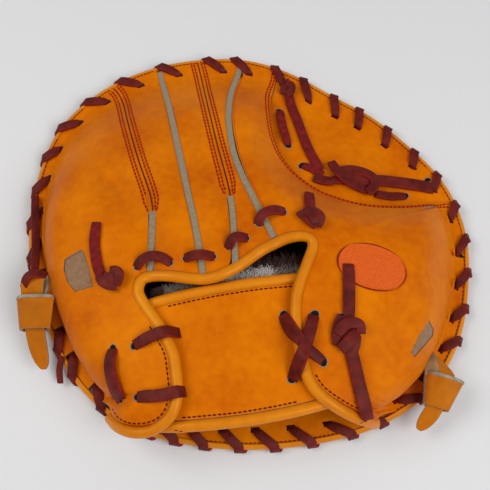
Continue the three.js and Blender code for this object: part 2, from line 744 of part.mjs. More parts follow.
// Thumb panel: a strip between the index seam and the web, which bends round the opening's corner
// and widens to the right side of the rim. Its rows run across it, from the web or rim inwards.
const stripShares = [0, 0.07, 0.15, 0.24, 0.33, 0.42, 0.51, 0.6, 0.68, 0.87, 1];
const stripHoleRow = 8;
const stripWebShares = [0.11, 0.16, 0.24, 0.31, 0.41, 0.49];
const cornerWebShare = 0.56;
const thumbOpening = [
  { web: 0.62, x: 18.5, y: -19.8 },
  { web: 0.7, x: 25.5, y: -18.6 },
  { web: 0.78, x: 30.2, y: -19.2 },
  { web: 0.86, x: 32.2, y: -21.5 },
  { web: 0.93, x: 32.2, y: -24 },
  { web: 1, x: 31.6, y: -26.6 },
];
const thumbRim = [
  { angle: 6.6, x: 30.6, y: -29.6 },
  { angle: 0, x: 27.5, y: -38 },
  { angle: -12, x: 24, y: -47.4 },
  { angle: -24, x: 22.5, y: -60 },
  { angle: -36, x: 23.8, y: -74 },
  { angle: -46, x: 25.8, y: -86 },
  { angle: -53.5, x: 30, y: -96 },
];
const thumbRaised = { angle: -56, x: 32, y: -98.6 };
const thumbLobe = [
  { x: 65, y: -110.5, innerX: 35, innerY: -101.6 },
  { x: 59, y: -111.2, innerX: 39, innerY: -104.2 },
  { x: 53, y: -110.5, innerX: 44.5, innerY: -107.2 },
];

function thumbPanel() {
  const seam = seamColumn('index_thumb', 1);
  const seamLine = seams.index_thumb;
  const right = angleOf(webEdge.getPointAt(0).x, webEdge.getPointAt(0).y);
  const left = angleOf(seam.points[0].x, seam.points[0].y);
  const hole = holeAngles.find((angle) => angle > right && angle < left);
  const half = degrees(laceHole.wide / 2 / (rimRadius(hole) - holeInset(hole)));
  const acrossTop = (inset) => stripShares.map((share, j) => {
    const plain = lerp(right, left, share);
    const angle = j === stripHoleRow ? hole - half : j === stripHoleRow + 1 ? hole + half : plain;
    return insideRim(angle, inset);
  });
  const top = [...holeBand(hole), flangeInset(hole)].map(acrossTop);
  const across = (outer, inner) => stripShares.map((share) => outer.clone().lerp(inner, share));
  const stations = seamStations('index_thumb').slice(4);
  const strip = stripWebShares.map((web, i) => {
    const at = stations[i];
    const inner = besideLine(seamLine, at, seamGap('index_thumb', at) / 2);
    return across(webEdge.getPointAt(web), inner);
  });
  const corner = across(webEdge.getPointAt(cornerWebShare), openingPoint(seam.share));
  const opening = thumbOpening.map(({ web, x, y }) => {
    return across(webEdge.getPointAt(web), openingPoint(openingShare(x, y, 0.5, 0.8)));
  });
  const guides = thumbRim.map(({ angle, x, y }) => ({ angle: -angle, share: openingShare(x, y, 0.6, 1) }));
  const [first, last] = [thumbRim[0].angle, thumbRim.at(-1).angle];
  const stops = rimStops(360 + last, 360 + first).toReversed().map(({ angle }) => angle - 360);
  const holes = holeAngles.map((angle) => (angle > 180 ? angle - 360 : angle));
  const rim = stops.map((angle) => {
    return rimColumn(angle, openingPoint(guideShare(guides.slice(1), -angle, -first, guides[0].share)));
  });
  const lobe = thumbLobe.map(({ x, y, innerX, innerY }) => {
    const outer = openingPoint(openingShare(x, y, 0.9, 1));
    return freeColumn(outer, openingPoint(openingShare(innerX, innerY, 0.8, 1)));
  });
  const before = [...top, ...strip, corner, ...opening];
  const raisedShare = openingShare(thumbRaised.x, thumbRaised.y, 0.8, 1);
  const raised = rimColumn(thumbRaised.angle, openingPoint(raisedShare));
  const plan = [...before, ...rim, raised, ...lobe];
  const cells = stops.flatMap((angle, k) => {
    const next = stops[k + 1];
    const inHole = next !== undefined && holes.some((at) => at < angle && at > next && angle - next < 3);
    return inHole ? [[before.length + k, 1]] : [];
  });
  const holeList = [[1, stripHoleRow], ...cells];
  add('back_thumb', shell(lift(plan, backPoint), backLeather, { holes: holeList }), orangeLeather);
}

thumbPanel();

// Web panel: from the upper right of the rim to the thumb panel's edge, under which it is tucked
const webTucked = { from: 0.17, full: 0.27, fading: 0.8, to: 0.9, gap: 0.4 };

function webTuck(share) {
  const { smoothstep } = THREE.MathUtils;
  const starting = smoothstep(share, webTucked.from, webTucked.full);
  const ending = 1 - smoothstep(share, webTucked.fading, webTucked.to);
  return lerp(webTucked.gap, -webSeam.tuck, Math.min(starting, ending));
}

// The web panel's own ends run beside the seam: the rows near the rim, then on to a share of the seam
function webSide(fromShare, toShare) {
  const direction = Math.sign(toShare - fromShare);
  const shareAt = (inset) => {
    let share = fromShare;
    while (insideOf(webEdge.getPointAt(share)) < inset) share += direction * 0.0005;
    return share;
  };
  const rim = webEdge.getPointAt(shareAt(panelInset));
  const flat = holeBand(angleOf(rim.x, rim.y)).map(shareAt);
  const rest = webSteps.map((step) => lerp(flat.at(-1), toShare, step));
  return [...flat, ...rest].map((share) => besideLine(webEdge, share, webTuck(share)));
}

const webSteps = [0.06, 0.3, 0.65, 1];
const webEnds = { top: 0.14, right: 0.86 };

function webPanel() {
  const right = webSide(1, webEnds.right);
  const top = webSide(0, webEnds.top);
  const from = angleOf(right[0].x, right[0].y);
  const to = angleOf(top[0].x, top[0].y);
  const stops = rimStops(from, to);
  const columns = stops.map(({ angle }, i) => {
    if (i === 0) return right;
    if (i === stops.length - 1) return top;
    const share = lerp(webEnds.right, webEnds.top, (angle - from) / (to - from));
    const inner = besideLine(webEdge, share, webTuck(share));
    const flat = holeBand(angle).map((inset) => insideRim(angle, inset));
    const start = flat.at(-1);
    return [...flat, ...webSteps.map((step) => start.clone().lerp(inner, step))];
  });
  add('web_panel', shell(lift(columns, webPoint), backLeather, { holes: holeCells(stops) }), orangeLeather);
}

webPanel();

// Palm: lace holes near the rim, then a dish of coarser rings. The heel side is padded.
const heelPad = { from: 232, to: 304, fade: 8, run: 26 };

function palmThickness(angle, inset) {
  const a = THREE.MathUtils.euclideanModulo(angle, 360);
  const inSector = Math.min(
    THREE.MathUtils.smoothstep(a, heelPad.from, heelPad.from + heelPad.fade),
    1 - THREE.MathUtils.smoothstep(a, heelPad.to - heelPad.fade, heelPad.to),
  );
  const near = 1 - THREE.MathUtils.smoothstep(inset, 14, 14 + heelPad.run);
  return palmLeather + (heelFlangeTop - palmFlangeTop) * inSector * near;
}

// The palm's grid: the angle of the lace hole it starts at, how far past a hole its coarser stops
// stand, in degrees, and the insets of its inner rings
const palmRings = { startsAt: 3.4, afterHole: 1.1, insets: [22, 45, 80] };

function palm() {
  const round = palmRings.startsAt + 360;
  const stops = rimStops(palmRings.startsAt, round).filter((stop) => {
    return stop.angle > palmRings.startsAt && stop.angle < round;
  });
  const radius = rimRadius(palmRings.startsAt) - holeInset(palmRings.startsAt);
  const holeHalf = degrees(laceHole.wide / 2 / radius);
  stops.push({ angle: round - holeHalf, hole: true });
  stops.unshift({ angle: palmRings.startsAt + holeHalf, hole: false });
  const vertices = [];
  const ring = (angles, inset) => {
    const start = vertices.length;
    const faces = angles.map((angle) => {
      const at = typeof inset === 'function' ? inset(angle) : inset;
      const point = insideRim(angle, at);
      const low = palmPoint(point.x, point.y);
      vertices.push(low, low.clone().setZ(low.z + palmThickness(angle, at)));
      return vertices.length - 2;
    });
    return { start, low: faces, high: faces.map((k) => k + 1) };
  };
  const angles = stops.map((stop) => stop.angle);
  const band = [0, 1, 2].map((k) => ring(angles, (angle) => holeBand(angle)[k]));
  const faces = [];
  const count = angles.length;
  const wall = (a, b, p, q) => faces.push([a.low[p], b.low[q], b.high[q], a.high[p]]);
  for (let i = 0; i < count; i += 1) {
    const n = (i + 1) % count;
    for (const k of [0, 1]) {
      const [outer, inner] = [band[k], band[k + 1]];
      if (k === 1 && stops[i].hole) {
        wall(outer, outer, n, i);
        wall(inner, inner, i, n);
        wall(outer, inner, i, i);
        wall(inner, outer, n, n);
      } else {
        faces.push([outer.low[n], outer.low[i], inner.low[i], inner.low[n]]);
        faces.push([outer.high[i], outer.high[n], inner.high[n], inner.high[i]]);
      }
    }
    wall(band[0], band[0], i, n);
  }
  // One coarser stop for each lace hole, and for each extra stop between far ones
  const coarse = [];
  const owner = [];
  stops.forEach((stop, i) => {
    const before = stops[(i + count - 1) % count];
    if (before.hole) {
      owner[i] = coarse.length - 1;
      return;
    }
    owner[i] = coarse.length;
    coarse.push(stop.hole ? stop.angle + palmRings.afterHole : stop.angle);
  });
  if (stops.at(-1).hole) owner[0] = coarse.length - 1;
  const rings = palmRings.insets.map((inset) => ring(coarse, inset));
  const middle = vertices.length;
  const centre = palmPoint(0, 0);
  vertices.push(centre, centre.clone().setZ(centre.z + palmLeather));
  const last = band[2];
  for (let i = 0; i < count; i += 1) {
    const n = (i + 1) % count;
    const [p, q] = [owner[i], owner[n]];
    const low = [last.low[n], last.low[i], rings[0].low[p]];
    const high = [last.high[i], last.high[n]];
    if (p === q) {
      faces.push(low, [...high, rings[0].high[p]]);
    } else {
      faces.push([...low, rings[0].low[q]], [...high, rings[0].high[q], rings[0].high[p]]);
    }
  }
  coarse.forEach((_, i) => {
    const n = (i + 1) % coarse.length;
    for (const k of [0, 1]) {
      const [outer, inner] = [rings[k], rings[k + 1]];
      faces.push([outer.low[n], outer.low[i], inner.low[i], inner.low[n]]);
      faces.push([outer.high[i], outer.high[n], inner.high[n], inner.high[i]]);
    }
    faces.push([rings[2].low[n], rings[2].low[i], middle]);
    faces.push([rings[2].high[i], rings[2].high[n], middle + 1]);
  });
  add('palm', body(vertices, faces), orangeLeather);
}

palm();

// Band that wraps the rim
function rimBinding() {
  const corners = [
    [rimBand, palmFloor],
    [1.2, palmFloor],
    [0, palmFloor + 1.4],
    [0, backFlangeTop - 1.6],
    [1.7, backFlangeTop],
    [rimBand, backFlangeTop],
  ];
  const sections = [...Array(rimBandStops).keys()].map((k) => {
    const angle = (k * 360) / rimBandStops;
    return corners.map(([inset, z]) => insideRim(angle, inset).setZ(z));
  });
  add('rim_binding', sweep(sections, true), rolledLeather);
}

rimBinding();

// Rolled leather edges: an oval of six corners swept along a line, at the height of the leather
const rollCorners = [0, 60, 120, 180, 240, 300].map((angle) => {
  return [roll.halfWide * Math.cos(radians(angle)), roll.halfThick * Math.sin(radians(angle))];
});

function rolledEdge(name, line, shares, surface) {
  const sections = shares.map((share) => {
    const point = line.getPointAt(share);
    const tangent = line.getTangentAt(share);
    const aside = new THREE.Vector3(-tangent.y, tangent.x, 0);
    const height = surface(point.x, point.y).z - roll.drop;
    return rollCorners.map(([wide, thick]) => {
      return point.clone().addScaledVector(aside, wide).setZ(height + thick);
    });
  });
  add(name, sweep(sections), rolledLeather);
}

rolledEdge('opening_binding', openingLine, [...rollStations].sort((a, b) => a - b), backPoint);

// Wrist strap between its two rolled edges, lower than the lobes that lie over its ends
const strapStops = 9;

function wristStrap() {
  const shares = [...Array(strapStops).keys()].map((k) => k / (strapStops - 1));
  const columns = shares.map((share) => {
    const top = besideLine(strapTop, share, -rollSeat);
    const bottom = besideLine(strapBottom, share, rollSeat);
    return [0, 0.12, 0.5, 0.88, 1].map((t) => top.clone().lerp(bottom, t));
  });
  add('wrist_strap', shell(lift(columns, strapPoint), backLeather), orangeLeather);
  rolledEdge('strap_binding_top', strapTop, shares, strapPoint);
  rolledEdge('strap_binding_bottom', strapBottom, shares, strapPoint);
}

wristStrap();

// Fur linings: a pad on the palm, and one behind the strap that shows past its upper edge
const furThickness = 3;
const wristFur = { below: 4.2, past: 9, short: 7 };
const palmFur = { x: -28, y: -31, halfLength: 66, halfWidth: 54, above: 1.2 };

function linings() {
  const shares = [0, 0.2, 0.4, 0.6, 0.8, 1];
  const wrist = shares.map((share) => {
    const top = besideLine(strapTop, lerp(0.1, 0.95, share), wristFur.past);
    const bottom = besideLine(strapBottom, lerp(0.1, 0.95, share), wristFur.short);
    return [0, 0.2, 0.6, 1].map((t) => top.clone().lerp(bottom, t));
  });
  const belowStrap = (x, y) => strapPoint(x, y).add(new THREE.Vector3(0, 0, -wristFur.below));
  add('wrist_lining', shell(lift(wrist, belowStrap), furThickness), fur);
  const steps = [-1, -0.72, -0.36, 0, 0.36, 0.72, 1];
  const disc = steps.map((u) => steps.map((v) => new THREE.Vector3(
    palmFur.x + palmFur.halfLength * u * Math.sqrt(1 - (v * v) / 2),
    palmFur.y + palmFur.halfWidth * v * Math.sqrt(1 - (u * u) / 2),
    0,
  )));
  const onPalm = (x, y) => {
    const angle = angleOf(x, y);
    const inset = rimRadius(angle) - Math.hypot(x, y);
    const height = palmThickness(angle, inset) + palmFur.above + furThickness;
    return palmPoint(x, y).add(new THREE.Vector3(0, 0, height));
  };
  add('palm_lining', shell(lift(disc, onPalm), furThickness), fur);
}

linings();

// Felt welts that stand in the seams where the panels leave a gap
const welt = { proud: 0.7, deep: 3, least: 1.5, endGap: 0.9, flushTo: 16 };

function weltStrip(name, seamName) {
  const curve = seams[seamName];
  const stations = seamStations(seamName).filter((share) => seamGap(seamName, share) > welt.least);
  const last = seamColumn(seamName, 0).points.at(-1).addScaledVector(curve.getTangentAt(1), -welt.endGap);
  const sections = stations.map((share) => {
    const atRim = insideOf(curve.getPointAt(share)) < welt.flushTo;
    const half = seamGap(seamName, share) / 2 - clearance;
    const shift = share === 1 ? last.clone().sub(curve.getPointAt(1)) : new THREE.Vector3();
    return [[half, true], [-half, true], [-half, false], [half, false]].map(([aside, high]) => {
      const at = besideLine(curve, share, aside).add(shift);
      const height = backPoint(at.x, at.y).z;
      const foot = Math.max(height - welt.deep, palmFlangeTop + clearance);
      return at.setZ(high ? height + (atRim ? 0 : welt.proud) : foot);
    });
  });
  add(name, sweep(sections), greyFelt);
}

weltStrip('welt_little', 'little_ring');
weltStrip('welt_ring', 'ring_middle');
weltStrip('welt_middle', 'middle_index');
weltStrip('welt_index', 'index_thumb');

// Rim lacing: each whip comes up through its hole, crosses the band slantwise, wraps the rim and
// runs back underneath to the next hole
function rimFrame(angle) {
  const along = insideRim(angle + 1, 0).sub(insideRim(angle - 1, 0)).normalize();
  return { along, out: new THREE.Vector3(along.y, -along.x, 0) };
}

function rimLace({ name, holes }) {
  const half = laceThickness / 2;
  const top = backFlangeTop + clearance + 0.15 + half;
  const away = clearance + 0.1 + half;
  const sections = [];
  const push = (centre, z, aside, out, rise) => {
    const offset = out.clone().multiplyScalar(half).setZ(rise * half);
    const corners = [[1, 1], [-1, 1], [-1, -1], [1, -1]];
    sections.push(corners.map(([w, t]) => {
      return centre.clone().setZ(z).addScaledVector(aside, w).addScaledVector(offset, t);
    }));
  };
  holes.forEach((angle) => {
    const inset = holeInset(angle);
    const over = angle + whipSlant;
    const from = insideRim(angle, inset);
    const run = insideRim(over, 0).sub(from).normalize();
    const slant = new THREE.Vector3(-run.y, run.x, 0).multiplyScalar(laceWidth / 2);
    const halfAngle = degrees((laceHole.wide / 2 - holePlay) / (rimRadius(angle) - inset));
    const hereOn = insideRim(angle + halfAngle, inset);
    const across = hereOn.sub(insideRim(angle - halfAngle, inset)).divideScalar(2);
    const [edge, low] = [rimFrame(over), rimFrame(over + whipWrap)];
    const side = edge.along.clone().multiplyScalar(laceWidth / 2);
    const inwards = edge.out.clone().negate();
    const beyond = insideRim(over + whipLean, 0).addScaledVector(edge.out, away);
    const below = insideRim(over + whipWrap, 0).addScaledVector(low.out, away);
    push(from, half, across, inwards, -1);
    push(from, top - whipChamfer, across, inwards, mitre);
    const rest = from.clone().addScaledVector(run, whipChamfer);
    push(rest, top, slant, inwards.clone().multiplyScalar(mitre), 1);
    push(insideRim(over, 0.1), top, slant, edge.out.clone().multiplyScalar(mitre), 1);
    push(beyond, top - whipDrop, side.clone().setZ(laceWidth / 5), edge.out, mitre);
    push(below, half, low.along.clone().multiplyScalar(laceWidth / 2), low.out, -1);
  });
  add(name, sweep(sections), burgundyLace);
}

rimLaces.forEach(rimLace);

// Highest face of the pieces made so far above a plan point
const caster = new THREE.Raycaster();
const skyHeight = 200;

function topAt(x, y) {
  caster.set(new THREE.Vector3(x, y, skyHeight), new THREE.Vector3(0, 0, -1));
  const hit = caster.intersectObjects(glove.children, false)[0];
  return hit ? hit.point.z : 0;
}

// Highest face within a small reach round a plan point, along a direction and across it
function topAround(point, along, reach) {
  const across = new THREE.Vector3(-along.y, along.x, 0);
  const heights = [-1, -0.5, 0, 0.5, 1].flatMap((t) => [-0.35, 0, 0.35].map((u) => {
    const [x, y] = [along.x * t + across.x * u, along.y * t + across.y * u];
    return topAt(point.x + x * reach, point.y + y * reach);
  }));
  return Math.max(...heights);
}

// Sections of a flat strip laid along a plan path. Both its sides rest on what lies below, and are
// never lower than the heights of the rows, and it arches up between its ends.
function laidSections(rows, options) {
  const { width = laceWidth, thickness = laceThickness, steps = 5, arch = 0, taper = 0 } = options;
  const points = rows.map(({ x, y, z = 0 }) => new THREE.Vector3(x, y, z));
  const path = new THREE.CatmullRomCurve3(points, false, 'centripetal');
  const reach = (path.getLength() / steps) * 0.6;
  const sides = [...Array(steps + 1).keys()].map((k) => {
    const share = k / steps;
    const centre = path.getPointAt(share);
    const along = path.getTangentAt(share).setZ(0).normalize();
    const wide = (width / 2) * (1 - taper * share);
    const aside = new THREE.Vector3(-along.y, along.x, 0).multiplyScalar(wide);
    const [left, right] = [centre.clone().add(aside), centre.clone().sub(aside)];
    const low = [left, centre, right].map((point) => topAround(point, along, reach));
    const sag = Math.max(0, low[1] - (low[0] + low[2]) / 2);
    const lifted = arch * Math.sin(Math.PI * share);
    left.z = Math.max(low[0] + sag + clearance, centre.z) + lifted;
    right.z = Math.max(low[2] + sag + clearance, centre.z) + lifted;
    return { left, right };
  });
  return sides.map(({ left, right }, k) => {
    const [before, after] = [sides[Math.max(k - 1, 0)], sides[Math.min(k + 1, steps)]];
    const along = after.left.clone().add(after.right).sub(before.left).sub(before.right);
    const normal = along.cross(left.clone().sub(right)).normalize().multiplyScalar(thickness);
    return [left, right, right.clone().add(normal), left.clone().add(normal)];
  });
}

function laid(name, rows, options = {}, finish = burgundyLace) {
  add(name, sweep(laidSections(rows, options)), finish);
}

// A skin of even thickness draped over what lies below a grid of plan points
function draped(name, grid, thickness, finish, reach = 3) {
  const top = grid.map((line) => line.map((point) => {
    return point.clone().setZ(topAround(point, new THREE.Vector3(1, 0, 0), reach) + clearance + thickness);
  }));
  add(name, shell(top, thickness), finish);
}

// Knotted lace as one mound along a plan path, with a crest of six corners
function knot(name, rows, { width, height, steps = 4 }) {
  const path = course(rows);
  const reach = path.getLength() / steps;
  const sections = [...Array(steps + 1).keys()].map((k) => {
    const share = k / steps;
    const full = Math.sin(Math.PI * lerp(0.14, 0.86, share));
    const [wide, tall] = [(width / 2) * lerp(0.5, 1, full), height * full];
    const centre = path.getPointAt(share);
    const along = path.getTangentAt(share);
    const aside = new THREE.Vector3(-along.y, along.x, 0);
    const base = Math.max(...[-1, 0, 1].map((side) => {
      return topAround(centre.clone().addScaledVector(aside, side * wide), along, reach * 0.8);
    })) + clearance;
    return [[1, 0], [-1, 0], [-1.1, 0.5], [-0.6, 1], [0.6, 1], [1.1, 0.5]].map(([across, rise]) => {
      return centre.clone().addScaledVector(aside, across * wide).setZ(base + rise * tall);
    });
  });
  add(name, sweep(sections), burgundyLace);
}

// Suede that shows through the slots of the two straps
const slotLeft = { x: -90, y: -36, halfLength: 7, halfWidth: 10.5, turn: 12 };
const slotRight = { x: 92, y: -69, halfLength: 4.4, halfWidth: 10, turn: -38 };
const badge = { x: 62, y: -34.5, halfLength: 18, halfWidth: 11.5, turn: -14 };
const slotSuede = 0.8;
const badgeThickness = 0.9;

// Plan points of an oval, as a square grid bent round
function ovalGrid({ x, y, halfLength, halfWidth, turn }, steps) {
  const [cos, sin] = [Math.cos(radians(turn)), Math.sin(radians(turn))];
  return steps.map((u) => steps.map((v) => {
    const a = halfLength * u * Math.sqrt(1 - (v * v) / 2);
    const b = halfWidth * v * Math.sqrt(1 - (u * u) / 2);
    return new THREE.Vector3(x + a * cos - b * sin, y + a * sin + b * cos, 0);
  }));
}

draped('slot_suede_left', ovalGrid(slotLeft, [-1, 0, 1]), slotSuede, suede, 4);
draped('slot_suede_right', ovalGrid(slotRight, [-1, 0, 1]), slotSuede, suede, 1.2);
draped('badge', ovalGrid(badge, [-1, -0.4, 0.4, 1]), badgeThickness, stitchedBadge, 4);

// Short ties over the seams' ends above the opening, arched between their holes
const tieRows = [
  [[-59.5, -36], [-55.5, -32.3], [-50, -31.2], [-45, -32.2], [-41.2, -34.4]],
  [[-33.5, -32.3], [-27.6, -30.4], [-22.5, -29.8], [-18.8, -30.6]],
  [[-12.3, -25.2], [-9.5, -21.8], [-5.5, -20.4], [-1.5, -20.4]],
  [[4.2, -11], [6, -7], [10.2, -4.6], [15, -4.3], [18.3, -4.2]],
];
const planRows = (pairs) => pairs.map(([x, y, z = 0]) => ({ x, y, z }));

tieRows.forEach((rows, i) => laid(`top_tie_${i + 1}`, planRows(rows), { arch: 1.6, steps: 4 }));

// Laces that tie the lobes down, and the lengths of lace that run on over the back
const laceRows = {
  lobe_tie_upper: [[-57.7, -75.3], [-47.9, -71.3], [-36.5, -68.7]],
  lobe_tie_lower: [[-55, -100.8], [-44.7, -100.8], [-33, -98.4]],
  lobe_lace: [[-69.3, -76], [-71.2, -85.1], [-68.6, -95], [-62.8, -101.3]],
  cross_lace_down: [[16.8, -60.5], [20.6, -70.3], [27.4, -77.9], [35.2, -83.9]],
  cross_lace_up: [[31.4, -61.5], [28.1, -72.8], [24.3, -82.9], [20.6, -91.9]],
  tail_lace_left: [[-81.8, -9.1], [-82, -20.9], [-79.6, -33], [-77.1, -40]],
  tail_lace_right: [[50.5, -31.6], [49.3, -46.8], [49.2, -60]],
  tail_end_right: [[51.1, -74.5], [54.3, -89.7], [57.1, -110.7]],
  tail_lace_middle: [[32.3, 6], [33, -2], [32.5, -9]],
  web_lace_short: [[17.3, 71.1], [18.4, 62.3], [21.7, 51]],
  web_lace_down: [[22.8, 80.2], [29.5, 63.2], [36, 44.7], [41.4, 31.8]],
  web_lace_across: [[54.7, 27.7], [71.9, 25.2], [89.1, 23.3], [104.4, 20.8]],
  web_end_left: [[29.8, 38.6], [36.6, 34.5]],
  web_end_right: [[71.7, 21.6], [85.7, 17.6]],
};
const laceSteps = {
  lobe_tie_upper: 7, lobe_tie_lower: 7, web_lace_down: 6, web_lace_across: 6,
  cross_lace_down: 6, cross_lace_up: 6,
  web_end_left: 1, web_end_right: 2, tail_lace_middle: 2, lobe_lace: 4, web_lace_short: 3, tail_lace_right: 4,
};
for (const [name, rows] of Object.entries(laceRows)) laid(name, planRows(rows), { steps: laceSteps[name] });

const knots = [
  { name: 'knot_left', rows: [[-77, -37.5], [-71, -40.5], [-66.5, -41.5]], width: 9.5, height: 5 },
  { name: 'knot_right', rows: [[51, -61], [49, -68], [46.5, -77]], width: 11, height: 6 },
  { name: 'knot_middle', rows: [[29.6, -11.5], [33.8, -4], [34.4, 4.5]], width: 7.5, height: 4 },
  { name: 'knot_web_top', rows: [[14.8, 98], [19.5, 90], [23.6, 80]], width: 9, height: 5 },
  {
    name: 'knot_web', rows: [[37.2, 27], [50, 28], [62, 23.5], [72, 19.8]],
    width: 9.5, height: 5.5, steps: 5,
  },
];
for (const { name, rows, ...size } of knots) knot(name, planRows(rows), size);

// Small straps at both sides, by the middle of the leather, its width, the plan angle of its width,
// how much that side rises (slope), and the way its outer face looks: -90 down, 0 outward, 90 up
const strapLeather = 2.2;
const sideStraps = {
  side_strap_left: [
    { at: [-114.5, -44.8, 19.8], width: 11, turn: 0, slope: 0.9, face: -90 },
    { at: [-114.5, -41, 20], width: 11, turn: 0, slope: 0.8, face: -90 },
    { at: [-114.8, -37, 20.6], width: 11.5, turn: 0, slope: 0.5, face: -70 },
    { at: [-115.6, -34.2, 22], width: 12, turn: 0, slope: 0.3, face: -20 },
    { at: [-116.6, -33.6, 24], width: 12.5, turn: 0, slope: 0.15, face: 25 },
    { at: [-117.6, -35.4, 25.6], width: 12.5, turn: 0, slope: 0.05, face: 65 },
    { at: [-118, -39.5, 25.1], width: 12.2, turn: 0, slope: 0, face: 90 },
    { at: [-117.8, -46, 22], width: 11.6, turn: 0, slope: 0, face: 85 },
    { at: [-117, -57, 19.3], width: 10, turn: 0, slope: 0, face: 80 },
    { at: [-115, -68, 16], width: 10, turn: 0, slope: 0, face: 80 },
    { at: [-112.4, -76, 13.4], width: 8.4, turn: 0, slope: 0, face: 80 },
    { at: [-111.2, -81.4, 11.6], width: 4, turn: 0, slope: 0, face: 80 },
  ],
  side_strap_right: [
    { at: [100, -77.6, 17.5], width: 7, turn: -40, slope: -0.5, face: 90 },
    { at: [102.6, -83, 20], width: 11, turn: -28, slope: -0.3, face: 90 },
    { at: [101.6, -88.6, 20.4], width: 12, turn: -16, slope: -0.1, face: 85 },
    { at: [99.2, -97, 17.8], width: 8.4, turn: -24, slope: 0, face: 80 },
    { at: [94.8, -104.6, 15.8], width: 8.2, turn: -32, slope: 0, face: 80 },
    { at: [89.6, -110.6, 13.4], width: 8, turn: -38, slope: 0, face: 80 },
    { at: [87.4, -113.4, 12.6], width: 4, turn: -38, slope: 0, face: 80 },
  ],
};

function sideStrap(name, rows) {
  const half = strapLeather / 2;
  const sections = rows.map(({ at, width, turn, slope, face }) => {
    const centre = new THREE.Vector3(...at);
    const aside = polar(turn, 1).setZ(slope).normalize().multiplyScalar(width / 2);
    const out = polar(turn + 90, Math.cos(radians(face))).setZ(Math.sin(radians(face))).multiplyScalar(half);
    return [[1, 1], [-1, 1], [-1, -1], [1, -1]].map(([w, t]) => {
      return centre.clone().addScaledVector(aside, w).addScaledVector(out, t);
    });
  });
  add(name, sweep(sections), orangeLeather);
}

// Leather keepers round the straps, as a profile across the strap that narrows along it
const keepers = {
  keeper_left: {
    profile: [[-12, 1.5], [-7.5, 6], [3, 7.4], [10.4, 6.4], [8.8, 2], [3, -5.6], [-6.5, -8.8], [-11.4, -4.5]],
    centre: [-115.4, -53.6, 19.2], turn: 0, halfLength: 7.8, fall: 1.7, wall: 2, taper: 0.82,
  },
  keeper_right: {
    profile: [[-10.4, 1], [-6, 4.8], [6.5, 5], [10.6, 1.5], [8.8, -4.6], [0, -7.8], [-8, -6.6], [-11, -2.6]],
    centre: [99, -95.7, 19], turn: -18, halfLength: 7.6, fall: 1.6, wall: 2, taper: 0.66,
  },
};

function keeper(name, { profile, centre, turn, halfLength, fall, wall, taper }) {
  const across = polar(turn, 1);
  const along = polar(turn - 90, halfLength).setZ(-fall);
  const ringAt = (step, grow, size) => profile.map(([a, b]) => {
    const scale = size * (1 - grow / Math.hypot(a, b));
    return new THREE.Vector3(...centre)
      .addScaledVector(across, a * scale)
      .addScaledVector(along, step)
      .add(new THREE.Vector3(0, 0, b * scale));
  });
  const rings = [ringAt(-1, 0, 1), ringAt(1, 0, taper), ringAt(1, wall, taper), ringAt(-1, wall, 1)];
  add(name, closedTube(rings), orangeLeather);
}

// A tube of rings that close on each other, the last on the first
function closedTube(rings) {
  const count = rings[0].length;
  const faces = rings.flatMap((_, r) => rings[0].map((_point, k) => {
    const [next, l] = [(r + 1) % rings.length, (k + 1) % count];
    return [r * count + k, r * count + l, next * count + l, next * count + k];
  }));
  return body(rings.flat(), faces);
}

// Lace from the rim that runs up beside the left strap, and the end that shows below its tail
const sideLaces = {
  side_lace_left: [[-125.8, 20.9], [-125.3, 13.3], [-123.4, -2.2], [-121.7, -16, 11], [-120.5, -28.4, 18]],
  side_end_left: [[-102.6, -75], [-105.2, -80.6, 6], [-103.6, -88, 4]],
};
laid('side_lace_left', planRows(sideLaces.side_lace_left), { steps: 5 }, cutRedLace);
laid('side_end_left', planRows(sideLaces.side_end_left), { steps: 4 }, cutRedLace);
for (const [name, rows] of Object.entries(sideStraps)) sideStrap(name, rows);
for (const [name, shape] of Object.entries(keepers)) keeper(name, shape);

// The origin is the middle of the underside of the whole glove's box
const whole = new THREE.Box3().setFromObject(glove);
const middle = whole.getCenter(new THREE.Vector3()).setZ(whole.min.z);
for (const mesh of glove.children) mesh.geometry.translate(-middle.x, -middle.y, -middle.z);

export default glove;
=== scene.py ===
# %% [markdown]
# # A flat training glove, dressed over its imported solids
# A flat training glove is a dished round palm with a set of back panels whipped to it with flat
# lace. The solids give every piece its place. Here each one gets the look of the real thing:
# grained leather, lace with bright cut edges, rows of stitches, felt in the seams and a furry
# lining.

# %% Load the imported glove
import math
import random

import bmesh
import bpy
import numpy as np
from mathutils import Matrix, Vector
from mathutils.bvhtree import BVHTree


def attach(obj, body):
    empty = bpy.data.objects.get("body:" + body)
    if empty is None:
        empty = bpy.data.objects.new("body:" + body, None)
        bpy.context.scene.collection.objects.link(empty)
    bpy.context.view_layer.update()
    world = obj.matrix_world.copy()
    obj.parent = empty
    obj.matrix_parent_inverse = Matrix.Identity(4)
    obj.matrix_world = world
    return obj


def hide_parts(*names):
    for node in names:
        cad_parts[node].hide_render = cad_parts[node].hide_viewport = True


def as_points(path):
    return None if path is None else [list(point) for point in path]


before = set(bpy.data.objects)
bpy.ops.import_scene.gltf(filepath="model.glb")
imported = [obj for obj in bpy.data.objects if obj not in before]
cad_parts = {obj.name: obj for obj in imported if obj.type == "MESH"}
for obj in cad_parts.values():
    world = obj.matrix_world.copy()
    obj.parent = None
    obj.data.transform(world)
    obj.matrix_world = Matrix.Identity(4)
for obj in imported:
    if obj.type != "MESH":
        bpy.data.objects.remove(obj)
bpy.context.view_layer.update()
MM = 0.001
# The drawing's origin is under the middle of the palm, a little off the middle of the whole box
DRAWING_ORIGIN = Vector((1.4968, 2.6639, 0.0)) * MM


def at(x, y, z=0.0):
    """A point of the drawing, in millimetres, as a place in the scene, in metres."""
    return Vector((x, y, z)) * MM + DRAWING_ORIGIN


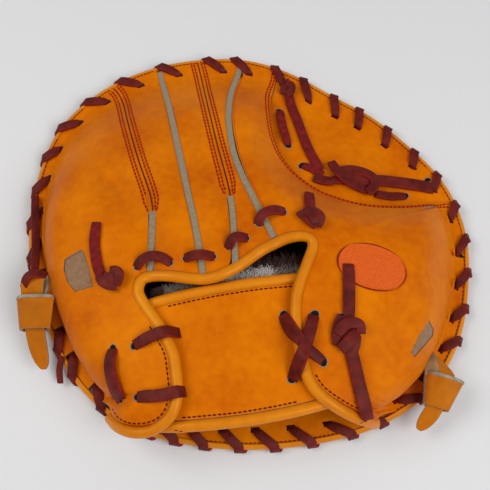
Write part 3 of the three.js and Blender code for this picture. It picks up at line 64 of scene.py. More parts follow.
# %% [markdown]
# ## The camera
# The photograph looks down on the table at 70 degrees from about 40 cm away, with a wide lens, so
# the near side of the glove looks larger than the far side. A pinhole fitted to the rim gives the
# lens: 744 pixels of focal length on a frame 490 pixels wide.

# %% Camera at the photograph's angle
SENSOR = 36.0
FRAME_PIXELS = 490
FOCAL_PIXELS = 744
LOOKS_DOWN = 70
CAMERA_PLACE = (-3, -155.6, 410.5)  # on the drawing, in mm

camera_data = bpy.data.cameras.new("camera")
camera_data.sensor_width = SENSOR
camera_data.lens = FOCAL_PIXELS / FRAME_PIXELS * SENSOR
camera_data.clip_start = 0.01
camera = bpy.data.objects.new("camera", camera_data)
camera.location = at(*CAMERA_PLACE)
camera.rotation_euler = (math.radians(90 - LOOKS_DOWN), 0, 0)
bpy.context.collection.objects.link(camera)
bpy.context.scene.camera = camera
print("lens:", round(camera_data.lens, 1), "mm")

# %% [markdown]
# ## Soft studio light on a pale floor
# Smooth leather shows broad soft highlights. They come from large lights close by: one panel at
# the left, a larger and stronger one above the near right, and a pale world that fills the
# shadows. The Standard view transform keeps the dye's strong orange, which AgX would pull towards
# grey.

# %% Floor, lights and world
FLOOR_HALF = 3.0  # in metres
AIM = (0, 0, 0.02)  # where the lights point
WORLD_STRENGTH = 0.355


def pale_floor():
    mesh = bpy.data.meshes.new("floor")
    bm = bmesh.new()
    bmesh.ops.create_grid(bm, x_segments=1, y_segments=1, size=FLOOR_HALF)
    bm.to_mesh(mesh)
    bm.free()
    floor = bpy.data.objects.new("floor", mesh)
    bpy.context.collection.objects.link(floor)
    return floor


def panel_light(name, place, size, watts, tint):
    """A round panel aimed at the glove, with its place and size in metres."""
    data = bpy.data.lights.new(name, "AREA")
    data.shape = "DISK"
    data.size = size
    data.energy = watts
    data.color = tint
    lamp = bpy.data.objects.new(name, data)
    lamp.location = place
    lamp.rotation_euler = (Vector(AIM) - Vector(place)).to_track_quat("-Z", "Y").to_euler()
    bpy.context.collection.objects.link(lamp)


bpy.context.scene.view_settings.view_transform = "Standard"
floor = pale_floor()
panel_light("key", (-0.6, 0.05, 0.85), 0.6, 4.0, (1.0, 0.985, 0.96))
panel_light("fill", (0.7, -0.5, 1.0), 0.9, 9.5, (0.98, 0.985, 1.0))
world = bpy.data.worlds.new("studio")
world.use_nodes = True
backdrop = world.node_tree.nodes["Background"]
backdrop.inputs["Color"].default_value = (0.95, 0.96, 0.98, 1)
backdrop.inputs["Strength"].default_value = WORLD_STRENGTH
bpy.context.scene.world = world
print("lights:", [light.name for light in bpy.data.lights])

# %% [markdown]
# ## A few helpers for every material
# Colours are given as sRGB hex values, and Blender wants them linear. Each node is added with its
# settings and its inputs in one go, so that a material reads like a recipe.

# %% Colour and node helpers
def colour(hex_value):
    channels = [int(hex_value[i : i + 2], 16) / 255 for i in (1, 3, 5)]
    linear = [c / 12.92 if c <= 0.04045 else ((c + 0.055) / 1.055) ** 2.4 for c in channels]
    return (*linear, 1.0)


def join_up(material, node, inputs):
    """Links a node's inputs to other nodes' outputs, or sets their values."""
    for key, value in inputs.items():
        if isinstance(value, bpy.types.NodeSocket):
            material.node_tree.links.new(value, node.inputs[key])
        else:
            node.inputs[key].default_value = value


def add_node(material, kind, inputs, **settings):
    """Adds a shader node with its settings and its inputs."""
    node = material.node_tree.nodes.new("ShaderNode" + kind)
    for key, value in settings.items():
        setattr(node, key, value)
    join_up(material, node, inputs)
    return node


def new_material(name):
    material = bpy.data.materials.new(name)
    material.use_nodes = True
    return material, material.node_tree.nodes["Principled BSDF"]


print("orange as linear light:", [round(c, 3) for c in colour("#df7a00")])

# %% [markdown]
# ## Full-grain cowhide
# The glove is smooth dyed cowhide. Its colour drifts over a few centimetres where the hide took
# more or less dye, its grain is a network of fine creases about a millimetre apart, and the waxed
# finish gives a soft sheen that breaks up over the grain. The fibrous flesh side and the cut edges
# use the same recipe with a short grain and a rough surface.

# %% Leather materials
MOTTLE, PORES, CREASES = 4.5, 0.6, 9  # size of blotches, pores and soft creases, in mm


def cowhide(
    name, light, deep, rough, grain=1.1, relief=0.12, cloud=34, sheen=(1, 1, 1), level=0.5,
    crease=0.16,
):
    """Dyed hide: grain is the crease spacing and cloud the size of the dye's drifts, in mm."""
    material, shader = new_material(name)
    place = add_node(material, "TexCoord", {}).outputs["Object"]
    drift = add_node(material, "TexNoise", {"Vector": place, "Scale": 1000 / cloud, "Detail": 4.0})
    mottle = add_node(
        material, "TexNoise", {"Vector": place, "Scale": 1000 / MOTTLE, "Detail": 3.0}
    )
    drifts = add_node(material, "Math", {0: drift.outputs["Fac"], 1: 0.7}, operation="MULTIPLY")
    blend = add_node(
        material, "Math", {0: mottle.outputs["Fac"], 1: 0.3, 2: drifts.outputs[0]},
        operation="MULTIPLY_ADD",
    )
    ramp = add_node(
        material, "MapRange", {"Value": blend.outputs[0], "From Min": 0.32, "From Max": 0.66}
    )
    mix = add_node(
        material, "Mix", {"Factor": ramp.outputs[0], 6: colour(deep), 7: colour(light)},
        data_type="RGBA",
    )
    cells = add_node(
        material, "TexVoronoi", {"Vector": place, "Scale": 1000 / grain},
        feature="DISTANCE_TO_EDGE",
    )
    pores = add_node(material, "TexNoise", {"Vector": place, "Scale": 1000 / PORES, "Detail": 2.0})
    creases = add_node(
        material, "TexNoise",
        {"Vector": place, "Scale": 1000 / CREASES, "Detail": 5.0, "Roughness": 0.62},
    )
    grained = add_node(material, "Math", {0: cells.outputs["Distance"], 1: pores.outputs["Fac"]})
    fine = add_node(
        material, "Bump", {"Height": grained.outputs[0], "Strength": relief, "Distance": 0.00025}
    )
    soft = add_node(material, "Bump", {
        "Height": creases.outputs["Fac"], "Normal": fine.outputs[0], "Strength": crease,
        "Distance": 0.0012,
    })
    gloss = add_node(material, "MapRange", {
        "Value": mottle.outputs["Fac"], "To Min": rough - 0.07, "To Max": min(rough + 0.09, 1),
    })
    join_up(material, shader, {
        "Base Color": mix.outputs[2], "Normal": soft.outputs[0], "Roughness": gloss.outputs[0],
        "IOR": 1.47, "Specular IOR Level": level, "Specular Tint": (*sheen, 1),
    })
    return material


AMBER = (1.0, 0.6, 0.24)
orange_leather = cowhide("cowhide_orange", "#df7a00", "#c25800", 0.5, sheen=AMBER, level=0.15)
strap_leather = cowhide("cowhide_tan_strap", "#c46e0a", "#a65804", 0.5, sheen=AMBER, level=0.34)
rolled_leather = cowhide(
    "cowhide_rolled_edge", "#de860c", "#cc7004", 0.36, grain=0.9, relief=0.08, sheen=AMBER,
    level=0.55,
)
burgundy_lace = cowhide(
    "rawhide_lace_burgundy", "#6f1e19", "#4b100d", 0.5, grain=0.8, relief=0.35, cloud=9,
    sheen=(1, 0.64, 0.54), level=0.27, crease=0.4,
)
cut_lace = cowhide(
    "rawhide_lace_cut_edge", "#9c1f18", "#741110", 0.78, grain=0.5, relief=0.5, cloud=4, level=0.2
)
flesh_lace = cowhide(
    "rawhide_lace_flesh_side", "#861f1c", "#56100f", 0.85, grain=0.6, relief=0.8, cloud=3,
    level=0.2,
)
flesh_side = cowhide(
    "cowhide_flesh_side", "#b08d66", "#8c6a48", 0.92, grain=0.5, relief=0.8, cloud=5, level=0.2
)
cut_leather = cowhide(
    "cowhide_cut_edge", "#a9a08e", "#7f7666", 0.85, grain=0.5, relief=0.5, cloud=4, level=0.2
)
print("leathers:", len(bpy.data.materials))

# %% [markdown]
# ## Wool felt, waxed thread, suede and pile
# The welts in the finger seams are grey wool felt: matted fibres, no gloss. The thread is waxed
# polyester, a bright red-orange on the back with darker red dashes that carry painted shade of the
# stitch holes, and a darker red on the edges. The slots show tan suede, and the hand rests on a
# short pile.

# %% Felt, thread and pile
def fibrous(name, light, deep, fibre, relief, fuzz=0.3, cloud=2.5):
    """Matted fibres: fibre is the spacing of the strands and cloud that of the shades, in mm."""
    material, shader = new_material(name)
    place = add_node(material, "TexCoord", {}).outputs["Object"]
    strands = add_node(
        material, "TexNoise",
        {"Vector": place, "Scale": 1000 / fibre, "Detail": 6.0, "Roughness": 0.75},
    )
    shade = add_node(material, "TexNoise", {"Vector": place, "Scale": 1000 / cloud, "Detail": 3.0})
    mix = add_node(
        material, "Mix", {"Factor": shade.outputs["Fac"], 6: colour(deep), 7: colour(light)},
        data_type="RGBA",
    )
    bump = add_node(
        material, "Bump", {"Height": strands.outputs["Fac"], "Strength": relief, "Distance": 0.0006}
    )
    join_up(material, shader, {
        "Base Color": mix.outputs[2], "Normal": bump.outputs[0], "Roughness": 0.95,
        "Specular IOR Level": 0.15, "Sheen Weight": fuzz,
    })
    return material


grey_felt = fibrous("wool_felt_grey", "#ac9c82", "#77694f", 0.6, 0.9, cloud=1.3)
tan_suede = fibrous("suede_tan", "#a98360", "#805a3c", 0.5, 0.8)
# The back's darker dashes are thread, darkened with painted shade of the stitch holes.
thread_with_hole_shade = fibrous("waxed_thread_red_hole_shade", "#a2220a", "#7a1405", 0.4, 0.3, 0.0, 1.2)
dark_thread = fibrous("waxed_thread_dark", "#6a1606", "#420c04", 0.4, 0.3, 0.0, 1.2)
# The inside of a punched hole is painted shade: a dark disc stands for its depth.
painted_hole_shade = fibrous("shadowed_hole", "#2a1810", "#140c08", 0.6, 0.5, 0.0)
brown_pile = fibrous("pile_lining_brown", "#46281c", "#26140e", 0.9, 1.0, 0.2, 6)
grey_fur = fibrous("sheepskin_fur_grey", "#a89c90", "#665a50", 0.5, 0.4, 0.3, 3)
white_fur = fibrous("sheepskin_fur_white", "#f6f3ee", "#d6d0c8", 0.5, 0.4, 0.4, 3)
brown_fur = fibrous("sheepskin_fur_brown", "#4e281c", "#24100a", 0.5, 0.4, 0.3, 3)
print("materials so far:", len(bpy.data.materials))

# %% [markdown]
# ## Finding places on the rim and the leather
# Lace, stitches and patches lie on the leather, so their heights are measured rather than typed.
# A search tree over finished shapes answers rays: one from outside finds the rim at any angle, and
# one from above finds the height of the leather.

# %% Rays on the rim and the leather
def tree_of(pieces):
    """One search tree over the finished shapes of some pieces."""
    bpy.context.view_layer.update()
    depsgraph = bpy.context.evaluated_depsgraph_get()
    bm = bmesh.new()
    for piece in pieces:
        shape = piece.evaluated_get(depsgraph)
        bm.from_mesh(shape.to_mesh())
        shape.to_mesh_clear()
    tree = BVHTree.FromBMesh(bm)
    bm.free()
    return tree


SKY = 200  # rays start this far out, in mm
RIM_HEIGHT = 5
DOWN = Vector((0, 0, -1))
rim_tree = tree_of([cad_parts["rim_binding"]])
ground = rim_tree  # what height() measures; the leather and its seams take its place further on


def polar(angle, radius, z=0.0):
    turn = math.radians(angle)
    return Vector((radius * math.cos(turn), radius * math.sin(turn), z))


RIM_RADII = []
for angle in range(361):
    hit = rim_tree.ray_cast(at(*polar(angle, SKY, RIM_HEIGHT)), -polar(angle, 1))[0]
    RIM_RADII.append((hit - DRAWING_ORIGIN).to_2d().length / MM)


def inside_rim(angle, inset, z=0.0):
    """A point of the drawing at a distance inside the rim, in mm."""
    low = math.floor(angle % 360)
    share = angle % 360 - low
    return polar(angle, RIM_RADII[low] * (1 - share) + RIM_RADII[low + 1] * share - inset, z)


def drawn(place):
    """A place of the scene as a point of the drawing, its angle and its distance inside the rim."""
    point = (place - DRAWING_ORIGIN) / MM
    angle = math.degrees(math.atan2(point.y, point.x))
    return point, angle, inside_rim(angle, 0).length - point.to_2d().length


def height(x, y):
    """Height of the leather above a plan point, in mm."""
    hit = ground.ray_cast(at(x, y, SKY), DOWN)[0]
    return hit.z / MM if hit else 0.0


print("rim radius at the top:", round(inside_rim(90, 0).length, 1), "mm")

# %% [markdown]
# ## Smooth copies of the coarse solids
# The solids are faceted so that they stay small. A copy is welded, its triangles are paired back
# into quads, and Subdivision Surface rounds it. Edges that are cut square on the real leather are
# creased first, so that the panels keep their thickness right up to the edge. Subdivision also
# draws a coarse roll in, so its corners are pushed out first. On the real glove the panels reach
# under the narrow roll of the rim, so their outer rows are drawn out to it.

# %% Copy, weld, crease and round
def piece_from(name, mesh, materials, nodes):
    """Links a mesh as a piece that rides with the glove and stands for its solids."""
    piece = bpy.data.objects.new(name, mesh)
    bpy.context.collection.objects.link(piece)
    for material in materials:
        mesh.materials.append(material)
    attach(piece, "root")
    if nodes:
        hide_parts(*nodes)
    return piece


def welded(node):
    bm = bmesh.new()
    bm.from_mesh(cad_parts[node].data)
    bmesh.ops.remove_doubles(bm, verts=bm.verts, dist=1e-6)
    bmesh.ops.join_triangles(
        bm, faces=bm.faces, angle_face_threshold=math.radians(60),
        angle_shape_threshold=math.radians(80),
    )
    return bm


def mesh_of(bm, name):
    for face in bm.faces:
        face.smooth = True
    mesh = bpy.data.meshes.new(name)
    bm.to_mesh(mesh)
    bm.free()
    return mesh


def add_modifier(piece, name, kind, **settings):
    modifier = piece.modifiers.new(name, kind)
    for key, value in settings.items():
        setattr(modifier, key, value)
    return modifier


def soften(piece, bevel):
    """Takes the sharpness off a piece's edges with a bevel of some mm."""
    add_modifier(
        piece, "soften_edges", "BEVEL", limit_method="ANGLE", angle_limit=math.radians(50),
        width=bevel * MM, segments=2,
    )


def bake_shape(piece):
    """Gives a piece its finished shape as its own mesh."""
    bpy.context.view_layer.update()
    shape = piece.evaluated_get(bpy.context.evaluated_depsgraph_get())
    mesh = bpy.data.meshes.new_from_object(shape)
    piece.modifiers.clear()
    piece.data = mesh


CUT_WALL = 3.2  # a sheared edge is no wider than this, in mm
TUCKED = (292, 322)  # angles where the thumb panel's edge is tucked under and shows no cut


def rounded(
    node, name, material, cut=None, levels=2, sharp=72, bevel=0.4, grow=0.0, shape=None,
    steep=0.45,
):
    """A smooth copy of a solid, grown by some mm.

    Edges that turn by more than sharp degrees are creased. The narrow walls between them get the
    finish cut, unless they face up or down by more than steep.
    """
    bm = welded(node)
    crease = bm.edges.layers.float.new("crease_edge")
    for edge in bm.edges:
        if edge.calc_face_angle(0) > math.radians(sharp):
            edge[crease] = 1.0
    for face in bm.faces:
        creased = sum(edge[crease] > 0 for edge in face.edges)
        narrow = min(edge.calc_length() for edge in face.edges) < CUT_WALL * MM
        angle = drawn(face.calc_center_median())[1] % 360
        tucked = node == "back_thumb" and TUCKED[0] < angle < TUCKED[1]
        sheared = creased >= 2 and narrow and not tucked and abs(face.normal.z) < steep
        face.material_index = int(cut is not None and sheared)
    bm.normal_update()
    for vertex in bm.verts:
        vertex.co += vertex.normal * grow * MM
        if shape:
            shape(vertex)
    materials = [material, cut] if cut else [material]
    piece = piece_from(name, mesh_of(bm, name), materials, [node])
    add_modifier(piece, "round", "SUBSURF", levels=levels, render_levels=levels)
    if bevel:
        soften(piece, bevel)
    return piece


BAND = 2.7  # width of the rolled rim that shows, in mm
OUTER_ROW = 5.6  # a panel's outer row of points lies nearer to the rim than this
FLANGE_TOP = 9.0  # the flanges' upper faces lie below this height, in mm
BAND_CORNERS = 3  # the band's inner corners lie further in than this


def reach_for_band(vertex):
    """Draws a panel's outer row out to the rolled rim."""
    point, angle, inset = drawn(vertex.co)
    if inset < OUTER_ROW and point.z < FLANGE_TOP:
        vertex.co += polar(angle, inset - BAND) * MM


def slim_band(vertex):
    """Draws the rim band's inner corners out, so that a narrow roll is left, a little proud."""
    point, angle, inset = drawn(vertex.co)
    if inset > BAND_CORNERS:
        vertex.co += polar(angle, inset - BAND - 0.2) * MM
    if point.z > RIM_HEIGHT:
        vertex.co.z += 0.25 * MM


print("the rolled rim shows", BAND, "mm wide")

# %% [markdown]
# ## Soft folds
# Leather that is worn in keeps soft folds where the fingers and the heel bend. The panels are
# baked to dense meshes, and their points are pressed down along a few lines, with a bell-shaped
# fall-off. Two more passes fill the valley at the foot of the dome and even out one steep corner.

# %% Panels, rolls and folds
FOLDS = [  # both ends, half width and depth, in mm
    (-92, 44, -76, 20, 6.5, 1.6), (-76, 20, -62, -1, 6.0, 2.2), (-37, 54, -31.5, 25, 6.0, 1.4),
    (-24, 32, -17, 9, 4.2, 1.7), (102, -28, 85, -55, 6.5, 1.8), (85, -55, 76, -74, 6.0, 1.3),
    (80, -70, 75, -85, 4.5, 1.0), (-92, -56, -72, -94, 7.5, 1.2),
    (-66, -60, -74, -48, 5.0, 0.8), (14, 60, 2, 34, 7.0, 1.0), (40, 4, 24, -6, 5.0, 0.9),
    (-18, -56, -6, -66, 2.2, 0.5), (-12, -53, -2, -60, 1.8, 0.45), (-30, -58, -22, -70, 3.0, 0.5),
]


def plan_of(mesh):
    """A mesh's points on the drawing, their angles and their distances inside the rim."""
    points = np.empty(len(mesh.vertices) * 3)
    mesh.vertices.foreach_get("co", points)
    points = (points.reshape(-1, 3) - np.array(DRAWING_ORIGIN)) / MM
    angles = np.degrees(np.arctan2(points[:, 1], points[:, 0])) % 360
    insets = np.interp(angles, range(361), RIM_RADII) - np.hypot(points[:, 0], points[:, 1])
    return points, angles, insets


def put_back(mesh, points):
    mesh.vertices.foreach_set("co", (points * MM + np.array(DRAWING_ORIGIN)).ravel())
    mesh.update()


FOLD_START, FOLD_FULL = 13, 21  # folds fade in between these distances inside the rim, in mm


def press_folds(piece):
    """Presses the folds into a baked panel."""
    points, _, insets = plan_of(piece.data)
    fade = np.clip((insets - FOLD_START) / (FOLD_FULL - FOLD_START), 0, 1)
    for x1, y1, x2, y2, half_width, depth in FOLDS:
        start, way = np.array((x1, y1)), np.array((x2 - x1, y2 - y1))
        share = np.clip(((points[:, :2] - start) @ way) / (way @ way), 0, 1)
        away = np.linalg.norm(points[:, :2] - start - share[:, None] * way, axis=1)
        points[:, 2] -= depth * np.exp(-((away / half_width) ** 2)) * fade
    put_back(piece.data, points)


FLANGE_REACH = 21  # the valley lies within this distance of the rim, in mm
AWAY = (1.5, 3, 4.5, 6)  # how far out and in the heights around a point are taken
STEP_DOWN = 12  # a drop of this much is a panel's edge and no valley
NO_LEATHER = -99
# Share of the filling by angle: towards the heel the flange stays flat, as on the real glove
FILL_ANGLES, FILL_SHARES = (0, 180, 194, 322, 342, 360), (1, 1, 0, 0, 1, 1)


def ease_flange(piece, tree):
    """Fills the valley at the foot of a baked panel's dome, so that it curves out to the rim."""
    points, angles, insets = plan_of(piece.data)
    shares = np.interp(angles, FILL_ANGLES, FILL_SHARES)
    for k, vertex in enumerate(piece.data.vertices):
        if vertex.normal.z < 0.15 or shares[k] == 0 or not BAND < insets[k] < FLANGE_REACH:
            continue
        heights = [points[k, 2]]
        for away in AWAY:
            pair = []
            for side in (away, -away):
                place = inside_rim(angles[k], max(insets[k] + side, BAND))
                hit = tree.ray_cast(at(place.x, place.y, SKY), DOWN)[0]
                pair.append(hit.z / MM if hit else NO_LEATHER)
            if min(pair) > points[k, 2] - STEP_DOWN:
                heights.append(sum(pair) / 2)
        points[k, 2] += shares[k] * max(0, sum(heights) / len(heights) - points[k, 2])
    put_back(piece.data, points)


CORNER = (67.5, -101.0)  # where the thumb panel's lower lobe drops to the rim
CORNER_REACH = 10.0
CORNER_FADE = 1.6
CORNER_PASSES = 40


def relax_corner(piece):
    """Evens out the small creases in a baked panel's steep corner."""
    points, _, _ = plan_of(piece.data)
    ends = np.empty(len(piece.data.edges) * 2, dtype=int)
    piece.data.edges.foreach_get("vertices", ends)
    ends = ends.reshape(-1, 2)
    away = np.hypot(points[:, 0] - CORNER[0], points[:, 1] - CORNER[1])
    share = np.clip(CORNER_FADE - CORNER_FADE * away / CORNER_REACH, 0, 0.5)[:, None]
    for _ in range(CORNER_PASSES):
        total, count = np.zeros_like(points), np.zeros((len(points), 1))
        for here, there in (ends.T, ends.T[::-1]):
            np.add.at(total, here, points[there])
            np.add.at(count, here, 1)
        points += (total / count - points) * share
    put_back(piece.data, points)


PANELS = (
    "back_ring", "back_middle", "back_index", "back_little", "back_thumb", "web_panel", "palm",
    "wrist_strap",
)
leather = {}
for node in PANELS:
    leather[node] = rounded(
        node, f"{node}_leather", orange_leather, cut=cut_leather,
        levels=2 if node == "palm" else 3, shape=None if node == "wrist_strap" else reach_for_band,
    )
    if node != "palm":
        bake_shape(leather[node])
raw = tree_of(leather.values())
for node in PANELS[:6]:  # the back's panels
    ease_flange(leather[node], raw)
    press_folds(leather[node])
relax_corner(leather["back_thumb"])
for node in ("opening_binding", "strap_binding_top", "strap_binding_bottom"):
    leather[node] = rounded(
        node, f"{node}_roll", rolled_leather, sharp=88, bevel=0, grow=1.0
    )
leather["rim_binding"] = rounded(
    "rim_binding", "rim_binding_band", rolled_leather, sharp=95, bevel=0,
    grow=0.45, shape=slim_band,
)
ground = tree_of(leather.values())
print("panels and rolls:", len(leather), "strap height:", round(height(-10, -80), 1), "mm")

# %% [markdown]
# ## Flat lace
# Glove lace is a strip of rawhide about 5 mm wide and 2 mm thick, smooth and burgundy outside, with
# bright cut edges. A strip is grown station by station from one edge with bmesh's extrude. Then
# Subdivision Surface smooths its way, Solidify gives it the thickness and its own finish on the cut
# edges, and Bevel takes the sharpness off.

# %% Lines, strips and lace
def smooth_line(rows, spacing):
    """Points about spacing mm apart on a smooth line through the rows (centripetal tangents)."""
    points = [Vector((*row, 0)[:3]) for row in rows]
    knots = [0.0]
    for a, b in zip(points, points[1:]):
        knots.append(knots[-1] + math.sqrt((b - a).length))
    last = len(points) - 1
    line = [points[0]]
    for i in range(last):
        before, after = max(i - 1, 0), min(i + 2, last)
        span = knots[i + 1] - knots[i]
        start = (points[i + 1] - points[before]) * span / (knots[i + 1] - knots[before])
        end = (points[after] - points[i]) * span / (knots[after] - knots[i])
        steps = max(1, round((points[i + 1] - points[i]).length / spacing))
        for k in range(1, steps + 1):
            t = k / steps
            line.append(
                points[i] * (2 * t**3 - 3 * t**2 + 1) + start * (t**3 - 2 * t**2 + t)
                + points[i + 1] * (3 * t**2 - 2 * t**3) + end * (t**3 - t**2)
            )
    return line


def headings(line):
    """Plan direction of a line at each of its points."""
    pairs = [(line[max(k - 1, 0)], line[min(k + 1, len(line) - 1)]) for k in range(len(line))]
    return [Vector((b.x - a.x, b.y - a.y, 0)).normalized() for a, b in pairs]


def beside(line, away):
    """A line at a distance to the left of another."""
    return [p + Vector((-d.y, d.x, 0)) * away for p, d in zip(line, headings(line))]


def grow_strip(bm, stations):
    """Grows a strip of quads through pairs of left and right points, in mm."""
    left, right = (bm.verts.new(at(*point)) for point in stations[0])
    edge = bm.edges.new((left, right))
    for left_place, right_place in stations[1:]:
        grown = bmesh.ops.extrude_edge_only(bm, edges=[edge])["geom"]
        new_verts = [item for item in grown if isinstance(item, bmesh.types.BMVert)]
        edge = bm.edges.get(new_verts)
        behind = {}
        for vertex in new_verts:
            link = next(e for e in vertex.link_edges if e is not edge)
            behind[vertex] = link.other_vert(vertex)
        for vertex in new_verts:
            vertex.co = at(*(left_place if behind[vertex] is left else right_place))
        left, right = sorted(new_verts, key=lambda vertex: behind[vertex] is not left)


UP = Vector((0, 0, 1))


def strap_piece(name, strips, thick, materials, nodes, levels=2, bevel=0.45, facing=UP):
    """Strips of leather of one thickness: finishes of the face, the back and the cut edges."""
    bm = bmesh.new()
    for stations in strips:
        before = len(bm.faces)
        grow_strip(bm, stations)
        bm.normal_update()
        bm.faces.ensure_lookup_table()
        strip = bm.faces[before:]
        if strip[0].normal.dot(facing) < 0:
            bmesh.ops.reverse_faces(bm, faces=strip)
    piece = piece_from(name, mesh_of(bm, name), materials, nodes)
    add_modifier(
        piece, "smooth_way", "SUBSURF", levels=levels, render_levels=levels,
        boundary_smooth="PRESERVE_CORNERS",
    )
    add_modifier(
        piece, "thickness", "SOLIDIFY", thickness=thick * MM, offset=0.0, material_offset=1,
        material_offset_rim=2,
    )
    if bevel:
        soften(piece, bevel)
    return piece


LACE_WIDE = 4.9
LACE_THICK = 1.9
LACE_FINISH = [burgundy_lace, burgundy_lace, cut_lace]
CLEARANCE = 0.3  # between a lace and the leather below it, in mm
SINK_REACH = 1.6  # stations over which the end of a strip sinks


def resting(line, width, arch=0.0, sink=(0.0, 0.0), tilt=0.0, free=False, ends=1.0):
    """Stations of a flat strip that rests on the leather along a line.

    The line's own z lifts it. It arches up between its ends, sinks into the leather at them, tilts
    its left side up, all in mm, and is drawn in to a share of its width at the ends. A free strip
    hangs at the line's own z instead.
    """
    count = len(line)
    sides = []
    for k, (point, heading) in enumerate(zip(line, headings(line))):
        near_end = min(k, count - 1 - k)
        wide = width * (ends if near_end == 0 else (1 + ends) / 2 if near_end == 1 else 1.0)
        aside = Vector((-heading.y, heading.x, 0)) * wide / 2
        sides.append((point + aside, point - aside))
    low = []
    for point, (left, right) in zip(line, sides):
        a, m, b = height(left.x, left.y), height(point.x, point.y), height(right.x, right.y)
        low.append([a + max(0, m - (a + b) / 2), b + max(0, m - (a + b) / 2)])
    stations = []
    for k, (left, right) in enumerate(sides):
        near = low[max(k - 1, 0) : k + 2]
        share = k / (count - 1)
        up = line[k].z + CLEARANCE + LACE_THICK / 2 + arch * math.sin(math.pi * share)
        first, last = max(0, 1 - k / SINK_REACH), max(0, 1 - (count - 1 - k) / SINK_REACH)
        up -= sink[0] * first + sink[1] * last
        z_left = (max(row[0] for row in near) + low[k][0]) / 2 + up + max(tilt, 0)
        z_right = (max(row[1] for row in near) + low[k][1]) / 2 + up + max(-tilt, 0)
        if free:
            z_left, z_right = line[k].z + tilt / 2, line[k].z - tilt / 2
        stations.append(((left.x, left.y, z_left), (right.x, right.y, z_right)))
    return stations


print("lace:", LACE_WIDE, "x", LACE_THICK, "mm")

# %% [markdown]
# ## The whipped rim
# Three lengths of lace hold palm, rim band and back together: up through a hole, slantwise over the
# rim, down outside it and on underneath to the next hole. The strip's stations are set out for one
# hole and repeated at the angle of each.

# %% Whips over the rim
RIM_HOLES = {
    "rim_lace_fingers": (77.7, 90.3, 98.9, 113.1, 125.1, 136.1, 145.9, 155.4, 164.5, 174.2, 183.5),
    "rim_lace_heel": (
        192.3, 201, 209.5, 217.1, 227.3, 234, 240.4, 246.6, 254.1, 262.7, 271.2, 280.8, 290.4, 298,
        308.8,
    ),
    "rim_lace_thumb": (317.6, 326.4, 334.9, 343.9, 353.3, 3.4, 13.4, 22.7, 34.1, 45.8, 55.2, 67.1),
}
HOLE_INSETS = (  # angle, and how far inside the rim its hole lies
    (0, 7.4), (25, 10), (60, 12.5), (90, 10.5), (130, 10), (160, 7.8), (180, 7.4), (245, 7.4),
    (275, 10), (300, 8), (330, 7.4), (360, 7.4),
)
SLANT = 4.4  # degrees by which a whip crosses the rim past its hole
BAND_TOP = 7.7  # height at which a whip crosses the rolled rim, in mm
WHIP_WIDE = 5.3
HEEL_ARC = (228, 300)  # angles where the whips stay low over the rim


def between(rows, value):
    """Reads a table of pairs in between its rows."""
    for (a, low), (b, high) in zip(rows, rows[1:]):
        if a <= value <= b:
            return low + (high - low) * (value - a) / (b - a)
    return rows[-1][1]


def whip(angle, next_angle, dice):
    """Stations of one turn of the lace, from under its hole to under the next one."""
    inset = between(HOLE_INSETS, angle % 360)
    over = angle + SLANT + dice.uniform(-0.4, 0.4)
    hole, edge = inside_rim(angle, inset), inside_rim(over, 0)
    run = (edge - hole).normalized()
    along = (inside_rim(over + 1, 0) - inside_rim(over - 1, 0)).normalized()
    out = Vector((along.y, -along.x, 0))
    across = (inside_rim(angle + 1, inset) - inside_rim(angle - 1, inset)).normalized()
    slanted = Vector((-run.y, run.x, 0))
    top = BAND_TOP + 0.75 + dice.uniform(0, 0.25)
    foot = max(height(*(hole + run * away).xy) for away in (1.5, 3, 4.5)) + LACE_THICK / 2
    foot = min(foot, top + (1.4 if HEEL_ARC[0] < angle < HEEL_ARC[1] else 4))
    reach = (edge - hole).length
    under = (angle + (next_angle - angle) * 0.72, inset * 0.8)
    rows = [  # the strip's middle, its height and the way across it
        (hole, 1.6, across * 0.8),
        (hole, 4.6, across * 0.8),
        (hole + run * 0.4, foot - 1.0, across * 0.8),
        (hole + run * 1.9, foot + 0.2, (across + slanted * 2).normalized()),
        (hole + run * reach * 0.6, max(top, (top + foot) / 2) + 0.3, slanted),
        (edge - out * 1.2, top - 0.1, (slanted * 2 + along).normalized()),
        (edge + out * 0.45, top - 1.6, (slanted + along * 2).normalized()),
        (edge + out * 1.15, 4.6, along),
        (inside_rim(over + 0.8, 0) + out * 1.1, 2.4, along),
        (inside_rim(over + 1.4, 1.8), 1.05, along),
        (inside_rim(*under), 1.05, along),
    ]
    stations = []
    for centre, z, aside in rows:
        half = aside * WHIP_WIDE / 2
        stations.append([(side.x, side.y, z) for side in (centre + half, centre - half)])
    return stations


dice = random.Random(7)
for name, angles in RIM_HOLES.items():
    stations = []
    ends = [*angles[1:], angles[-1] + 8]
    for angle, following in zip(angles, ends):
        stations += whip(angle, following if following > angle else following + 360, dice)
    strap_piece(
        f"{name}_whips", [stations[:-2]], LACE_THICK, LACE_FINISH, [name],
        levels=1,
    )
print("whips:", sum(len(angles) for angles in RIM_HOLES.values()))

# %% [markdown]
# ## Stitches
# Waxed thread shows as short rounded dashes that sit in the leather. One icosphere is drawn out for
# each dash, laid along its line on the measured height and turned with the line.

# %% Rows of stitches
STITCH_RISE = 0.12
STITCH_HIGH = 0.42  # half height of a stitch, as a share of its width


